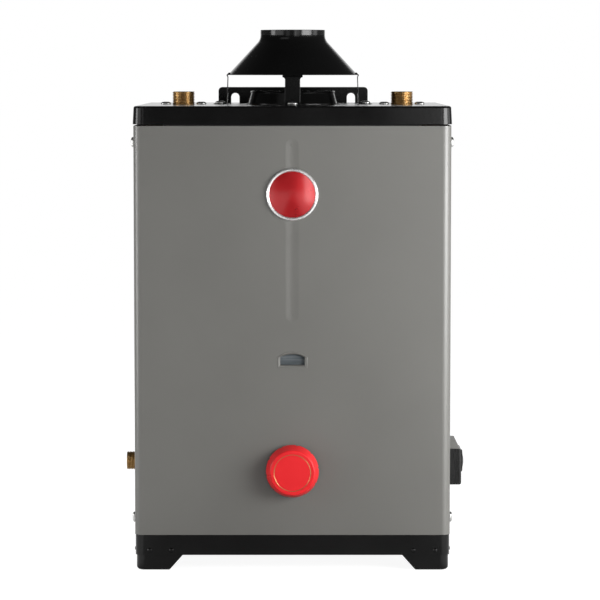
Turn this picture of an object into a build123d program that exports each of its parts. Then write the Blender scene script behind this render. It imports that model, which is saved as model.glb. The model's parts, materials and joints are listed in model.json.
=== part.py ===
from build123d import *
import os
from math import cos, radians, sin, sqrt

# Gas water heater with a small storage tank in a square sheet-metal cabinet, in millimetres.
# The origin is on the floor under the middle of the cabinet. +Z is up and the front faces -Y.

# Cabinet
CABINET_WIDTH = 366.5
CABINET_DEPTH = 366.5
PANEL_HEIGHT = 474.4
PANEL_SHEET = 1.0
PANEL_CORNER_RADIUS = 10.0
RETURN_DEPTH = 22.0            # how far the front and back panels wrap onto the sides
LAP_LENGTH = 11.0              # side panel flange tucked behind a return
LAP_JOIN = 4.0                 # how far that flange runs on behind its own panel
LAP_BELOW_TOP = 5.0
SEAM_GAP = 0.5
TONGUE_INSET = 3.0             # step of the tongue that carries the cover from inside
TONGUE_MARGIN = 25.0
PANEL_SCREW_SETBACK = 16.0     # from the front or back face
PANEL_SCREW_END = 19.0         # from the top or bottom edge of the panel

# Pressed groove down the front panel
GROOVE_WIDTH = 16.0
GROOVE_SLOPE = 7.0               # steepest part of its sides, in degrees
GROOVE_EDGE_SLOPE = 2.5          # where its sides meet the face of the panel
GROOVE_LENGTH = 211.0
GROOVE_TOP_MARGIN = 15.0

# Base and feet
FOOT_HEIGHT = 18.0             # floor to the lower edge of the base rail
RAIL_HEIGHT = 23.6
BASE_INSET = 0.6
BASE_SHEET = 1.2
AIR_OPENING_RADIUS = 95.0
FOOT_SHEET = 1.5
FOOT_SOLE_LENGTH = 38.0
FOOT_TOP_LENGTH = 54.0
FOOT_TUCK = 16.0               # how far a foot reaches up behind the rail
FOOT_EDGE_RADIUS = 4.0
RIVET_FROM_EDGE = (16.5, 42.0)
RIVET_ABOVE_RAIL_EDGE = 5.5
RIVET_RADIUS = 1.6
RIVET_HEAD_RADIUS = 2.7
RIVET_HEAD_HEIGHT = 1.3
RIVET_TAIL_HEIGHT = 1.0
HOLE_CLEARANCE = 0.15          # radial, around rivets and screws

# Top cover
COVER_GAP = 1.7
COVER_HEIGHT = 21.0
COVER_OVERHANG = 0.8
COVER_TAPER = 3.0
COVER_SHEET = 1.2
COVER_CORNER_RADIUS = 13.0
COVER_EDGE_RADIUS = 2.5

# Screws
SCREW_RADIUS = 1.95
SCREW_LENGTH = 7.0
SCREW_HEAD_RADIUS = 4.2
SCREW_HEAD_HEIGHT = 3.2
SCREW_SLOT_WIDTH = 1.0
SCREW_ROOT = 0.2                 # shank sunk into its head
COVER_SCREW_FROM_NIPPLE = 21.4

# Wall bracket
BRACKET_WIDTH = 191.0
BRACKET_SHEET = 2.0
BRACKET_STAND_OFF = 15.5
BRACKET_ABOVE_COVER = 19.5
BRACKET_FLANGE_HEIGHT = 46.0
BRACKET_BELOW_PANEL_TOP = 24.0
BRACKET_CORNER_RADIUS = 5.0
BRACKET_RIVET_SPACING = 150.0
BRACKET_RIVET_RISE = 12.0
SLOT_WIDTH = 10.5
SLOT_LENGTH = 24.0
SLOT_SPACING = 148.0
SLOT_FROM_TOP = 7.5

# Badge
BADGE_RADIUS = 30.0
BADGE_RIM_WIDTH = 3.4
BADGE_RIM_HEIGHT = 3.6
BADGE_BACK = 0.8
BADGE_EDGE = 1.2
BADGE_DOME = 1.6
BADGE_CLEARANCE = 0.15
BADGE_BELOW_PANEL_TOP = 78.8

# Sight window
WINDOW_WIDTH = 28.0
WINDOW_SIDE_HEIGHT = 9.0
WINDOW_ARCH = 3.2
WINDOW_ABOVE_DECK = 198.4
WINDOW_LIP = 2.3               # width of the edge rolled inwards
WINDOW_LIP_DEPTH = 2.6
WINDOW_LAP = 6.0
GLASS_THICKNESS = 3.0
GASKET_THICKNESS = 1.0

# Draft hood and flue
HOOD_SHEET = 0.8
HOOD_RIM_RADIUS = 78.6
HOOD_RELIEF_HEIGHT = 35.2      # open height between cover and hood rim
HOOD_CONE_HEIGHT = 42.8
VENT_RADIUS = 38.2             # inside of the vent collar, for a 3 inch vent pipe
VENT_COLLAR_HEIGHT = 11.4
HOOD_BLEND_RADIUS = 13.0
LEG_SHEET = 1.0
LEG_WIDTH = 18.0
LEG_FLARE = 3.0
LEG_LAP = 3.0
LEG_FOOT_LENGTH = 17.0
LEG_SCREW_FROM_END = 8.0
LEG_LAP_GAP = 0.05
LEG_SPLAY = 1.2
LEG_STAND_OFF = 0.2
LEG_SHOULDER_DROP = 2.5
LEG_BEND = 2.0                   # inside of the bend at the foot
FLUE_RADIUS = 48.0
FLUE_SHEET = 2.0
FLUE_CLEARANCE = 2.0
FLUE_PROUD = 2.0
FLUE_BELOW_HEAD = 2.0
COLLAR_HEIGHT = 16.0
COLLAR_TOP_RADIUS = 50.2
COLLAR_FOOT_RADIUS = 53.6
COLLAR_FLANGE = 4.0
COLLAR_SHEET = 1.0
COLLAR_BEAD = 1.1
BAFFLE_SHEET = 1.5
BAFFLE_WIDTH = 40.0
BAFFLE_SWING = 28.0
BAFFLE_PITCH = 34.0
BAFFLE_FOLDS = 5
BAFFLE_HANGER_WIDTH = 8.0
BAFFLE_FROM_FLUE_TOP = 14.0
BAFFLE_CLEARANCE = 0.5

# Tank
INSULATION = 20.0
INSULATION_GAP = 1.5           # outside the wrap, at the middle of a panel
WRAP_CLEARANCE = 0.5
TANK_SHEET = 2.0
TANK_TOP_ABOVE_DECK = 434.0
HEAD_FLANGE = 12.0
HEAD_DOME = 17.0
HEAD_CLEARANCE = 0.1
TANK_BOTTOM_ABOVE_DECK = 261.0
ACCESS_HALF_WIDTH = 95.0
ACCESS_HEIGHT = 181.0
SIGHT_HOLE_MARGIN = 5.0
INSULATION_ABOVE_BOTTOM = 50.0
INSULATION_TOP_THICKNESS = 19.0
INSULATION_ABOVE_HEAD = 2.0
PLUG_ROOM = (1.0, 2.0)           # around and over the anode's plug
NIPPLE_RADIUS = 13.335         # 3/4 inch pipe
NIPPLE_BORE = 10.45
NIPPLE_PROUD = 15.3
NIPPLE_FROM_TANK_WALL = 28.6
NIPPLE_BELOW_TANK_TOP = 10.0
NIPPLE_TURNS = 8
PIPE_THREAD_PITCH = 1.814
THREAD_DEPTH = 1.0
THREAD_RELIEF = 0.5            # plain pipe below the thread crests
THREAD_CHAMFER = 0.8
DIP_TUBE_RADIUS = 10.2
DIP_TUBE_WALL = 2.0
DIP_TUBE_ABOVE_BOTTOM = 25.0
DIP_TUBE_IN_NIPPLE = 12.0
ANODE_RADIUS = 9.0
ANODE_OFFSET = 100.0
ANODE_LENGTH = 120.0
ANODE_PLUG_RADIUS = 12.0
ANODE_PLUG_HEIGHT = 10.0

# Gas control
CONTROL_ABOVE_DECK = 75.5
SERVICE_ABOVE_CONTROL = 6.0      # gas inlet and igniter button, over the knob's axis
VALVE_SETBACK = 12.0           # valve front face behind the panel face
VALVE_DEPTH = 60.0
VALVE_WIDTH = 92.0
VALVE_HEIGHT = 70.0
VALVE_EDGE_RADIUS = 5.0
VALVE_NECK_RADIUS = 12.0
VALVE_NECK_LENGTH = 8.0
VALVE_FRONT_WALL = 8.5
VALVE_BORE = 12.5
REAR_COVER_SIZE = 44.0
REAR_COVER_THICKNESS = 5.0
RUNNING_GAP = 0.3
STEM_RADIUS = 4.0
STEM_FLAT = 3.0                # flat of the D section, from the axis
STEM_SHOULDER_RADIUS = 7.0
STEM_SHOULDER = 3.0
STEM_IN_KNOB = 9.0
COCK_LENGTH = 20.0
STEM_IN_COCK = 8.0
PLUNGER_LENGTH = 8.0
SPRING_LENGTH = 14.0
SPRING_RADIUS = 8.5
SPRING_WIRE = 0.8
SPRING_TURNS = 4
SPRING_PLAY = 0.1                # at each end
PANEL_STEM_HOLE = 13.0
KNOB_RADIUS = 30.6
KNOB_FRONT_RADIUS = 26.0
KNOB_DEPTH = 16.0
KNOB_GAP = 6.0                 # knob to panel, more than the push
KNOB_SKIN = 2.5
KNOB_HUB_RADIUS = 8.0
KNOB_EDGE_RADIUS = 2.0
KNOB_FLUTES = 10
KNOB_FLUTE_RADIUS = 1.2
KNOB_FLUTE_DEPTH = 0.8
KNOB_FLUTE_ANGLE = 8.0
KNOB_CAP_RADIUS = 21.3
KNOB_CAP_THICKNESS = 2.5
KNOB_CAP_CLEARANCE = 0.2
KNOB_CAP_SUNK = 0.2
KNOB_CAP_EDGE = 0.8
KNOB_BORE_CLEARANCE = 0.02
KNOB_WEB = 3.0                 # between the hollow and the cap's seat
POINTER_ANGLE = 190.0
POINTER_FROM_CAP = 1.0
POINTER_WIDTH = 3.0
POINTER_HEIGHT = 1.0

# Gas piping and burner
GAS_LINE_SETBACK = 44.0
GAS_STUB_RADIUS = 10.67        # 1/2 inch pipe
GAS_STUB_PROUD = 10.8
GAS_STUB_TURNS = 5
GAS_STUB_CLEARANCE = 1.0         # radial, in the side panel
GAS_FLANGE_RADIUS = 16.0
GAS_FLANGE_THICKNESS = 5.0
GAS_PIPE_RADIUS = 7.0
GAS_PIPE_BORE = 5.0
PORT_DEPTH = 12.0
PORT_CLEARANCE = 0.15
PORT_SEAT = 1.0                  # tube ends short of the foot of their port
PORT_BREAKTHROUGH = 3.0          # passages run this far into the valve bore
MANIFOLD_SETBACK = 32.0
MANIFOLD_RADIUS = 5.0
MANIFOLD_PASSAGE = 3.0           # radius of the passage that feeds it
MANIFOLD_BEND = 9.0
BURNER_ABOVE_DECK = 149.0      # underside of the burner bowl
BURNER_RADIUS = 85.0
BURNER_HEIGHT = 25.0
BURNER_SHEET = 1.5
BURNER_CAP_THICKNESS = 3.0
BURNER_CAP_LIP = 1.0
PORT_RINGS = ((70.0, 24), (48.0, 16), (26.0, 8))
FLAME_PORT_RADIUS = 2.5
MIXER_RADIUS = 11.0
MIXER_MOUTH_RADIUS = 16.0
MIXER_SETBACK = 58.0
ORIFICE_GAP = 4.0
ORIFICE_RADIUS = 7.0
ORIFICE_LENGTH = 12.0
ORIFICE_SOCKET = 2.0
ORIFICE_SOCKET_FIT = 0.05
ORIFICE_JET = 0.8
SHELF_WIDTH = 24.0
SHELF_SHEET = 2.0
SHELF_TAB = 18.0
SHELF_CLEARANCE = 0.6
PILOT_SETBACK = 88.0
PILOT_X = 20.0
THERMOCOUPLE_X = 33.0
ELECTRODE_X = 46.0
PILOT_RADIUS = 5.0
PILOT_LENGTH = 26.0
PILOT_PLATE = 2.0
PILOT_PLATE_RISE = 16.0
PILOT_PLATE_MARGIN = 9.0
PILOT_BELOW_PLATE = 8.0
PILOT_CUP_WALL = 1.5
PILOT_TUBE_SEAT = 2.0
SMALL_FIT = 0.1                # radial, where small parts sit in their holes
PILOT_TUBE_RADIUS = 2.0
THERMOCOUPLE_RADIUS = 2.5
THERMOCOUPLE_LEAD_RADIUS = 1.25
THERMOCOUPLE_BELOW_PLATE = 6.0
THERMOCOUPLE_ABOVE_PLATE = 22.0
ELECTRODE_RADIUS = 3.0
ELECTRODE_WIRE_RADIUS = 0.9
ELECTRODE_BELOW_PLATE = 8.0
ELECTRODE_ABOVE_PLATE = 16.0
ELECTRODE_TIP_RISE = 24.0
ELECTRODE_WIRE_BEND = 3.0
ELECTRODE_WIRE_ROOT = 2.0        # wire sunk into the ceramic
SPARK_GAP = 4.0
SMALL_TUBE_SETBACK = 47.0
SMALL_BEND = 8.0
SMALL_TUBE_DROP = 4.0            # below the igniter lead, where both cross to the pilot
BULB_RADIUS = 6.0
BULB_LENGTH = 80.0
BULB_X = -45.0
BULB_ABOVE_TANK_BOTTOM = 30.0
CAPILLARY_RADIUS = 1.5
CAPILLARY_SETBACK = 14.0
CAPILLARY_JOG = (15.0, 8.0)    # sideways and back, from its upright to its port
CAPILLARY_BEND = 6.0
BULB_PROUD = 6.0
VALVE_STAND_WIDTH = 60.0
VALVE_STAND_SHEET = 2.0
VALVE_STAND_FOOT = 14.0
VALVE_STAND_MARGIN = 8.0

# Igniter on the right side
IGNITER_SETBACK = 42.5
IGNITER_WIDTH = 36.0
IGNITER_HEIGHT = 42.3
IGNITER_BELOW_BUTTON = 26.0     # button axis to the foot of the housing
IGNITER_PROUD = 14.05
IGNITER_EDGE_RADIUS = 2.5
BEZEL_RADIUS = 12.9
BEZEL_PROUD = 1.7
BUTTON_RADIUS = 9.0
BUTTON_SKIRT = 8.0
BUTTON_DOME = 1.6
BUTTON_STEM_RADIUS = 4.0
BUTTON_STEM_LENGTH = 13.0
PIEZO_RADIUS = 8.0
PIEZO_LENGTH = 42.0
PIEZO_PROUD = 1.5
PIEZO_FLANGE_RADIUS = 12.0
PIEZO_FLANGE = 2.0
PIEZO_BORE_DEPTH = 20.0
LEAD_RADIUS = 2.0
LEAD_BEND = 12.0
LEAD_BEHIND_PIEZO = 14.0
DRIP_HOOD_HEIGHT = 10.4
DRIP_HOOD_WIDTH = 38.0
DRIP_HOOD_TOP = 6.8
DRIP_HOOD_LIP = 12.1

# Planes and levels that follow from those sizes
HALF_WIDTH = CABINET_WIDTH / 2
HALF_DEPTH = CABINET_DEPTH / 2
FRONT = -HALF_DEPTH
DECK = FOOT_HEIGHT + RAIL_HEIGHT
PANEL_TOP = DECK + PANEL_HEIGHT
COVER_BOTTOM = PANEL_TOP + COVER_GAP
COVER_TOP = COVER_BOTTOM + COVER_HEIGHT
TONGUE_TOP = COVER_TOP - COVER_SHEET
TANK_RADIUS = min(HALF_WIDTH, HALF_DEPTH) - PANEL_SHEET - INSULATION - INSULATION_GAP
TANK_TOP = DECK + TANK_TOP_ABOVE_DECK
TANK_BOTTOM = DECK + TANK_BOTTOM_ABOVE_DECK
NIPPLE_X = TANK_RADIUS - NIPPLE_FROM_TANK_WALL
NIPPLE_TOP = COVER_TOP + NIPPLE_PROUD
HOOD_RIM = COVER_TOP + HOOD_RELIEF_HEIGHT
CONE_TOP = HOOD_RIM + HOOD_CONE_HEIGHT
VENT_TOP = CONE_TOP + VENT_COLLAR_HEIGHT
LEG_RADIUS = HOOD_RIM_RADIUS + LEG_STAND_OFF
FLUE_TOP = COVER_TOP + FLUE_PROUD
CONTROL_Z = DECK + CONTROL_ABOVE_DECK
SERVICE_Z = CONTROL_Z + SERVICE_ABOVE_CONTROL
VALVE_FRONT = FRONT + VALVE_SETBACK
VALVE_BACK = VALVE_FRONT + VALVE_DEPTH
VALVE_TOP = CONTROL_Z + VALVE_HEIGHT / 2
VALVE_BASE = CONTROL_Z - VALVE_HEIGHT / 2
BORE_FRONT = VALVE_FRONT + VALVE_FRONT_WALL
SHOULDER_FRONT = BORE_FRONT + RUNNING_GAP
PLUNGER_FRONT = SHOULDER_FRONT + STEM_SHOULDER + RUNNING_GAP
PLUNGER_BACK = PLUNGER_FRONT + PLUNGER_LENGTH
COCK_FRONT = PLUNGER_BACK + SPRING_LENGTH
COCK_BACK = COCK_FRONT + COCK_LENGTH
KNOB_BACK = FRONT - KNOB_GAP
KNOB_FRONT = KNOB_BACK - KNOB_DEPTH
GAS_LINE_Y = FRONT + GAS_LINE_SETBACK
MANIFOLD_Y = FRONT + MANIFOLD_SETBACK
SMALL_TUBE_Y = FRONT + SMALL_TUBE_SETBACK
PILOT_Y = FRONT + PILOT_SETBACK
BURNER_Z = DECK + BURNER_ABOVE_DECK
BURNER_TOP = BURNER_Z + BURNER_HEIGHT
MIXER_Z = BURNER_Z + BURNER_HEIGHT / 2
MIXER_FRONT = FRONT + MIXER_SETBACK
ORIFICE_FRONT = MIXER_FRONT - ORIFICE_GAP - ORIFICE_LENGTH
PILOT_Z = BURNER_Z + PILOT_PLATE_RISE
BULB_Z = TANK_BOTTOM + BULB_ABOVE_TANK_BOTTOM
BULB_Y = -sqrt(TANK_RADIUS**2 - BULB_X**2)
CAPILLARY_Y = FRONT + CAPILLARY_SETBACK
CAPILLARY_PORT_X = BULB_X + CAPILLARY_JOG[0]
CAPILLARY_PORT_Y = CAPILLARY_Y + CAPILLARY_JOG[1]
IGNITER_Y = FRONT + IGNITER_SETBACK
IGNITER_BASE = SERVICE_Z - IGNITER_BELOW_BUTTON
IGNITER_TOP = IGNITER_BASE + IGNITER_HEIGHT
IGNITER_FACE = HALF_WIDTH + IGNITER_PROUD
BUTTON_BACK = IGNITER_FACE + BEZEL_PROUD - BUTTON_SKIRT
PIEZO_FRONT = HALF_WIDTH + PIEZO_PROUD
PIEZO_END = HALF_WIDTH - PIEZO_LENGTH
BRACKET_BACK = HALF_DEPTH + BRACKET_STAND_OFF
BRACKET_TOP = COVER_TOP + BRACKET_ABOVE_COVER
BRACKET_STEP = PANEL_TOP - BRACKET_BELOW_PANEL_TOP
BADGE_Z = PANEL_TOP - BADGE_BELOW_PANEL_TOP
WINDOW_Z = DECK + WINDOW_ABOVE_DECK
GASKET_FACE = FRONT + PANEL_SHEET + WINDOW_LIP_DEPTH
SIDES = (-1, 1)


def block(x, y, z):
    """Box between the two values of x, of y and of z."""
    size = Box(x[1] - x[0], y[1] - y[0], z[1] - z[0])
    return Pos((x[0] + x[1]) / 2, (y[0] + y[1]) / 2, (z[0] + z[1]) / 2) * size


def rod(radius, start, direction, length):
    """Round bar from start along a direction."""
    face = Plane(origin=start, z_dir=direction) * Circle(radius)
    return extrude(face, amount=length, dir=direction)


def rod_x(radius, x, y, z):
    return rod(radius, (x[0], y, z), (1, 0, 0), x[1] - x[0])


def rod_y(radius, x, y, z):
    return rod(radius, (x, y[0], z), (0, 1, 0), y[1] - y[0])


def rod_z(radius, x, y, z):
    return rod(radius, (x, y, z[0]), (0, 0, 1), z[1] - z[0])


def pipe_z(radius, wall, x, z):
    """Upright pipe open at both ends."""
    return rod_z(radius, x, 0, z) - rod_z(radius - wall, x, 0, (z[0] - 1, z[1] + 1))


def prism(points, direction, length):
    """Flat outline given by points in space, extruded along a direction."""
    return extrude(make_face(Polyline(*points, close=True)), amount=length, dir=direction)


def turned(profile):
    """Solid turned about Z from (radius, height) points."""
    outline = Polyline(*[(radius, 0, height) for radius, height in profile], close=True)
    return revolve(make_face(outline), axis=Axis.Z)


def bent_tube(points, bend, radius):
    """Round tube or wire along a line with rounded bends."""
    path = FilletPolyline(*points, radius=bend)
    return sweep(Plane(origin=path @ 0, z_dir=path % 0) * Circle(radius), path=path)


def plan_prism(width, depth, radius, bottom, top):
    """Upright prism with a rounded rectangle for its plan."""
    return extrude(Plane.XY.offset(bottom) * RectangleRounded(width, depth, radius), amount=top - bottom)


def threaded_edge(radius, start, turns):
    """Outer edge points of a pipe thread that runs up from start."""
    points = []
    for turn in range(turns):
        foot = start + turn * PIPE_THREAD_PITCH
        points.append((radius, foot))
        points.append((radius, foot + 0.45 * PIPE_THREAD_PITCH))
        points.append((radius - THREAD_DEPTH, foot + 0.72 * PIPE_THREAD_PITCH))
    points.append((radius, start + turns * PIPE_THREAD_PITCH))
    return points


def domed(radius, edge, dome):
    """Button about Z: a round wall up to the edge and a part of a sphere on top."""
    sphere = (radius**2 + dome**2) / (2 * dome)
    return rod_z(radius, 0, 0, (0, edge + dome)) & Pos(0, 0, edge + dome - sphere) * Sphere(sphere)


def pan_screw(head_radius=SCREW_HEAD_RADIUS, head_height=SCREW_HEAD_HEIGHT):
    """Pan-head screw with its head above Z = 0."""
    head = turned([(0, 0), (head_radius, 0), (head_radius, head_height * 0.55),
                   (head_radius * 0.72, head_height * 0.92), (0, head_height)])
    half_slot = SCREW_SLOT_WIDTH / 2
    slot = block((-half_slot, half_slot), (-head_radius, head_radius), (head_height * 0.6, head_height + 1))
    return head - slot + rod_z(SCREW_RADIUS, 0, 0, (-SCREW_LENGTH, SCREW_ROOT))


def rivet(grip):
    """Domed rivet with its head above Z = 0, closed below the grip."""
    return turned([(0, RIVET_HEAD_HEIGHT), (RIVET_HEAD_RADIUS * 0.6, RIVET_HEAD_HEIGHT * 0.85),
                   (RIVET_HEAD_RADIUS, 0), (RIVET_RADIUS, 0), (RIVET_RADIUS, -grip),
                   (RIVET_HEAD_RADIUS * 0.8, -grip), (RIVET_HEAD_RADIUS * 0.8, -grip - RIVET_TAIL_HEIGHT),
                   (0, -grip - RIVET_TAIL_HEIGHT)])


def placed(shape, spots):
    """One compound with the shape at each (point, direction)."""
    copies = [Plane(origin=point, z_dir=direction) * shape for point, direction in spots]
    return Compound(children=[copy.solid() for copy in copies])


def holes(spots, radius, depth=12.0):
    """Cutters for the fasteners at those spots."""
    cutters = []
    for point, direction in spots:
        start = tuple(point[i] + direction[i] * depth for i in range(3))
        cutters.append(rod(radius + HOLE_CLEARANCE, start, tuple(-d for d in direction), 2 * depth))
    return cutters


def panel_screw_spots():
    heights = (DECK + PANEL_SCREW_END, PANEL_TOP - PANEL_SCREW_END)
    return [((side * HALF_WIDTH, end * (HALF_DEPTH - PANEL_SCREW_SETBACK), z), (side, 0, 0))
            for side in SIDES for end in SIDES for z in heights]


def foot_rivet_spots():
    z = FOOT_HEIGHT + RIVET_ABOVE_RAIL_EDGE
    face_x = HALF_WIDTH - BASE_INSET
    face_y = HALF_DEPTH - BASE_INSET
    spots = []
    for side in SIDES:
        for end in SIDES:
            for inset in RIVET_FROM_EDGE:
                spots.append(((side * (face_x - inset), end * face_y, z), (0, end, 0)))
                spots.append(((side * face_x, end * (face_y - inset), z), (side, 0, 0)))
    return spots


def bracket_rivet_spots():
    z = BRACKET_STEP - BRACKET_FLANGE_HEIGHT / 2
    y = HALF_DEPTH + BRACKET_SHEET
    return [((side * BRACKET_RIVET_SPACING / 2, y, z + step * BRACKET_RIVET_RISE), (0, 1, 0))
            for side in SIDES for step in SIDES]


def nipple_screw_spots():
    return [((side * NIPPLE_X + step * COVER_SCREW_FROM_NIPPLE, 0, COVER_TOP), (0, 0, 1))
            for side in SIDES for step in SIDES]


def leg_screw_spots():
    reach = LEG_RADIUS + LEG_FOOT_LENGTH - LEG_SCREW_FROM_END
    return [((reach * x, reach * y, COVER_TOP + LEG_SHEET), (0, 0, 1))
            for x, y in ((0, -1), (1, 0), (0, 1), (-1, 0))]


def base_pan():
    width = CABINET_WIDTH - 2 * BASE_INSET
    depth = CABINET_DEPTH - 2 * BASE_INSET
    radius = PANEL_CORNER_RADIUS - BASE_INSET
    pan = plan_prism(width, depth, radius, FOOT_HEIGHT, DECK)
    pan -= plan_prism(width - 2 * BASE_SHEET, depth - 2 * BASE_SHEET, radius - BASE_SHEET,
                      FOOT_HEIGHT - 1, DECK - BASE_SHEET)
    pan -= rod_z(AIR_OPENING_RADIUS, 0, 0, (DECK - 5, DECK + 5))
    return pan - holes(foot_rivet_spots(), RIVET_RADIUS)


def foot(side, end):
    """Pressed corner foot: two walls and a sole, tucked behind the base rail."""
    face_x = HALF_WIDTH - BASE_INSET - BASE_SHEET
    face_y = HALF_DEPTH - BASE_INSET - BASE_SHEET
    top = FOOT_HEIGHT + FOOT_TUCK
    corner = PANEL_CORNER_RADIUS

    def outline(face):
        return [(face, 0), (face, top), (face - FOOT_TOP_LENGTH, top),
                (face - FOOT_TOP_LENGTH, FOOT_HEIGHT), (face - FOOT_SOLE_LENGTH, 0)]

    def rounded(shape, x, y, bottom, inset):
        uprights = shape.edges().filter_by(Axis.Z)
        outermost = uprights.sort_by(lambda edge: edge.center().X + edge.center().Y)[-1]
        shape = fillet(outermost, corner - inset)
        low = [edge for edge in shape.edges()
               if abs(edge.center().Z - bottom) < 0.01 and edge.length > 5
               and (abs(edge.center().X - x) < 4 or abs(edge.center().Y - y) < 4)]
        return fillet(low, FOOT_EDGE_RADIUS - inset)

    start_x = face_x - FOOT_TOP_LENGTH
    start_y = face_y - FOOT_TOP_LENGTH
    across = prism([(x, start_y, z) for x, z in outline(face_x)], (0, 1, 0), FOOT_TOP_LENGTH)
    along = prism([(start_x, y, z) for y, z in outline(face_y)], (1, 0, 0), FOOT_TOP_LENGTH)
    shell = rounded(across & along, face_x, face_y, 0, 0)
    room = block((start_x - 5, face_x - FOOT_SHEET), (start_y - 5, face_y - FOOT_SHEET),
                 (FOOT_SHEET, top + 5))
    shell -= rounded(room, face_x - FOOT_SHEET, face_y - FOOT_SHEET, FOOT_SHEET, FOOT_SHEET)
    if side < 0:
        shell = mirror(shell, about=Plane.YZ)
    if end < 0:
        shell = mirror(shell, about=Plane.XZ)
    return shell - holes(foot_rivet_spots(), RIVET_RADIUS)


def tray(end):
    """Front or back panel: a face with rounded corners, side returns and a stepped tongue on top."""
    outer = plan_prism(CABINET_WIDTH, CABINET_DEPTH, PANEL_CORNER_RADIUS, DECK, PANEL_TOP)
    inner = plan_prism(CABINET_WIDTH - 2 * PANEL_SHEET, CABINET_DEPTH - 2 * PANEL_SHEET,
                       PANEL_CORNER_RADIUS - PANEL_SHEET, DECK - 1, PANEL_TOP + 1)

    def strip(depth, x_half, z):
        return block((-x_half, x_half), sorted((end * HALF_DEPTH, end * (HALF_DEPTH - depth))), z)

    panel = (outer - inner) & strip(RETURN_DEPTH, HALF_WIDTH, (DECK, PANEL_TOP))
    panel += outer & strip(TONGUE_INSET + PANEL_SHEET, HALF_WIDTH, (PANEL_TOP - PANEL_SHEET, PANEL_TOP))
    tongue_half = HALF_WIDTH - PANEL_CORNER_RADIUS - TONGUE_MARGIN
    tongue = strip(TONGUE_INSET + PANEL_SHEET, tongue_half, (PANEL_TOP - PANEL_SHEET, TONGUE_TOP))
    panel += tongue - strip(TONGUE_INSET, tongue_half, (PANEL_TOP, TONGUE_TOP))
    return panel - holes(panel_screw_spots(), SCREW_RADIUS)


def groove(mouth):
    """Long shallow trough with soft sides and round ends, pressed inwards from the plane y = mouth."""
    half = GROOVE_WIDTH / 2
    edge = radians(GROOVE_EDGE_SLOPE)
    steep = radians(GROOVE_SLOPE)
    bend = half / (2 * sin(steep) - sin(edge))
    depth = bend * (1 + cos(edge) - 2 * cos(steep))

    def section(z):
        def outer(slope):
            return half - bend * (sin(slope) - sin(edge)), mouth + bend * (cos(edge) - cos(slope)), z

        def inner(slope):
            return bend * sin(slope), mouth + depth - bend * (1 - cos(slope)), z

        rim = mouth - PANEL_SHEET / 2
        outline = Polyline((0, mouth + depth, z), (0, rim, z), (half, rim, z), outer(edge))
        outline += ThreePointArc(outer(edge), outer((edge + steep) / 2), outer(steep))
        outline += ThreePointArc(outer(steep), inner(steep / 2), inner(0))
        return make_face(outline)

    top = PANEL_TOP - GROOVE_TOP_MARGIN - half
    bottom = top - GROOVE_LENGTH + 2 * half
    trough = extrude(section(bottom), amount=top - bottom, dir=(0, 0, 1))
    trough += mirror(trough, about=Plane.YZ)
    for z, turn in ((bottom, 1), (top, -1)):
        trough += revolve(section(z), axis=Axis((0, 0, z), (0, turn, 0)), revolution_arc=180)
    return trough


def window_face(grow, y):
    """Arched window outline grown all round, in the upright plane at y."""
    half = WINDOW_WIDTH / 2 + grow
    bottom = WINDOW_Z - grow
    shoulder = WINDOW_Z + WINDOW_SIDE_HEIGHT
    crown = shoulder + WINDOW_ARCH + grow
    sides = Polyline((half, y, shoulder), (half, y, bottom), (-half, y, bottom), (-half, y, shoulder))
    arch = ThreePointArc((-half, y, shoulder), (0, y, crown), (half, y, shoulder))
    return make_face(Curve() + [sides, arch])


def window_plate(grow, y, thickness):
    """Plate with the window outline, from y inwards."""
    return extrude(window_face(grow, y), amount=thickness, dir=(0, 1, 0))


def front_panel():
    panel = tray(-1)
    panel += groove(FRONT + PANEL_SHEET)
    panel -= groove(FRONT)
    panel += window_plate(WINDOW_LIP + PANEL_SHEET, FRONT, PANEL_SHEET + WINDOW_LIP_DEPTH)
    panel -= loft([window_face(WINDOW_LIP, FRONT), window_face(0, FRONT + WINDOW_LIP_DEPTH)], ruled=True)
    panel -= window_plate(0, FRONT, 10)
    return panel - rod_y(PANEL_STEM_HOLE, 0, (FRONT - 5, FRONT + 5), CONTROL_Z)


def back_panel():
    return tray(1) - holes(bracket_rivet_spots(), RIVET_RADIUS)


def side_panel(side):
    seam = HALF_DEPTH - RETURN_DEPTH - SEAM_GAP

    def sheet(near, far, y_half, z):
        return block(sorted((side * (HALF_WIDTH - near), side * (HALF_WIDTH - far))), (-y_half, y_half), z)

    tongue_half = HALF_DEPTH - PANEL_CORNER_RADIUS - TONGUE_MARGIN
    panel = sheet(0, PANEL_SHEET, seam, (DECK, PANEL_TOP))
    lap_end = HALF_DEPTH - RETURN_DEPTH + LAP_LENGTH
    flanges = sheet(PANEL_SHEET, 2 * PANEL_SHEET, lap_end, (DECK, PANEL_TOP - LAP_BELOW_TOP))
    flanges -= sheet(PANEL_SHEET, 2 * PANEL_SHEET, seam - LAP_JOIN, (DECK, PANEL_TOP))
    panel += flanges
    panel += sheet(0, TONGUE_INSET + PANEL_SHEET, seam, (PANEL_TOP - PANEL_SHEET, PANEL_TOP))
    upright = (PANEL_TOP - PANEL_SHEET, TONGUE_TOP)
    panel += sheet(TONGUE_INSET, TONGUE_INSET + PANEL_SHEET, tongue_half, upright)
    return panel - holes(panel_screw_spots(), SCREW_RADIUS)


def left_side_panel():
    hole = GAS_STUB_RADIUS + GAS_STUB_CLEARANCE
    return side_panel(-1) - rod_x(hole, (-HALF_WIDTH - 5, -HALF_WIDTH + 5), GAS_LINE_Y, SERVICE_Z)


def right_side_panel():
    hole = PIEZO_RADIUS + RUNNING_GAP
    return side_panel(1) - rod_x(hole, (HALF_WIDTH - 5, HALF_WIDTH + 5), IGNITER_Y, SERVICE_Z)


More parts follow.
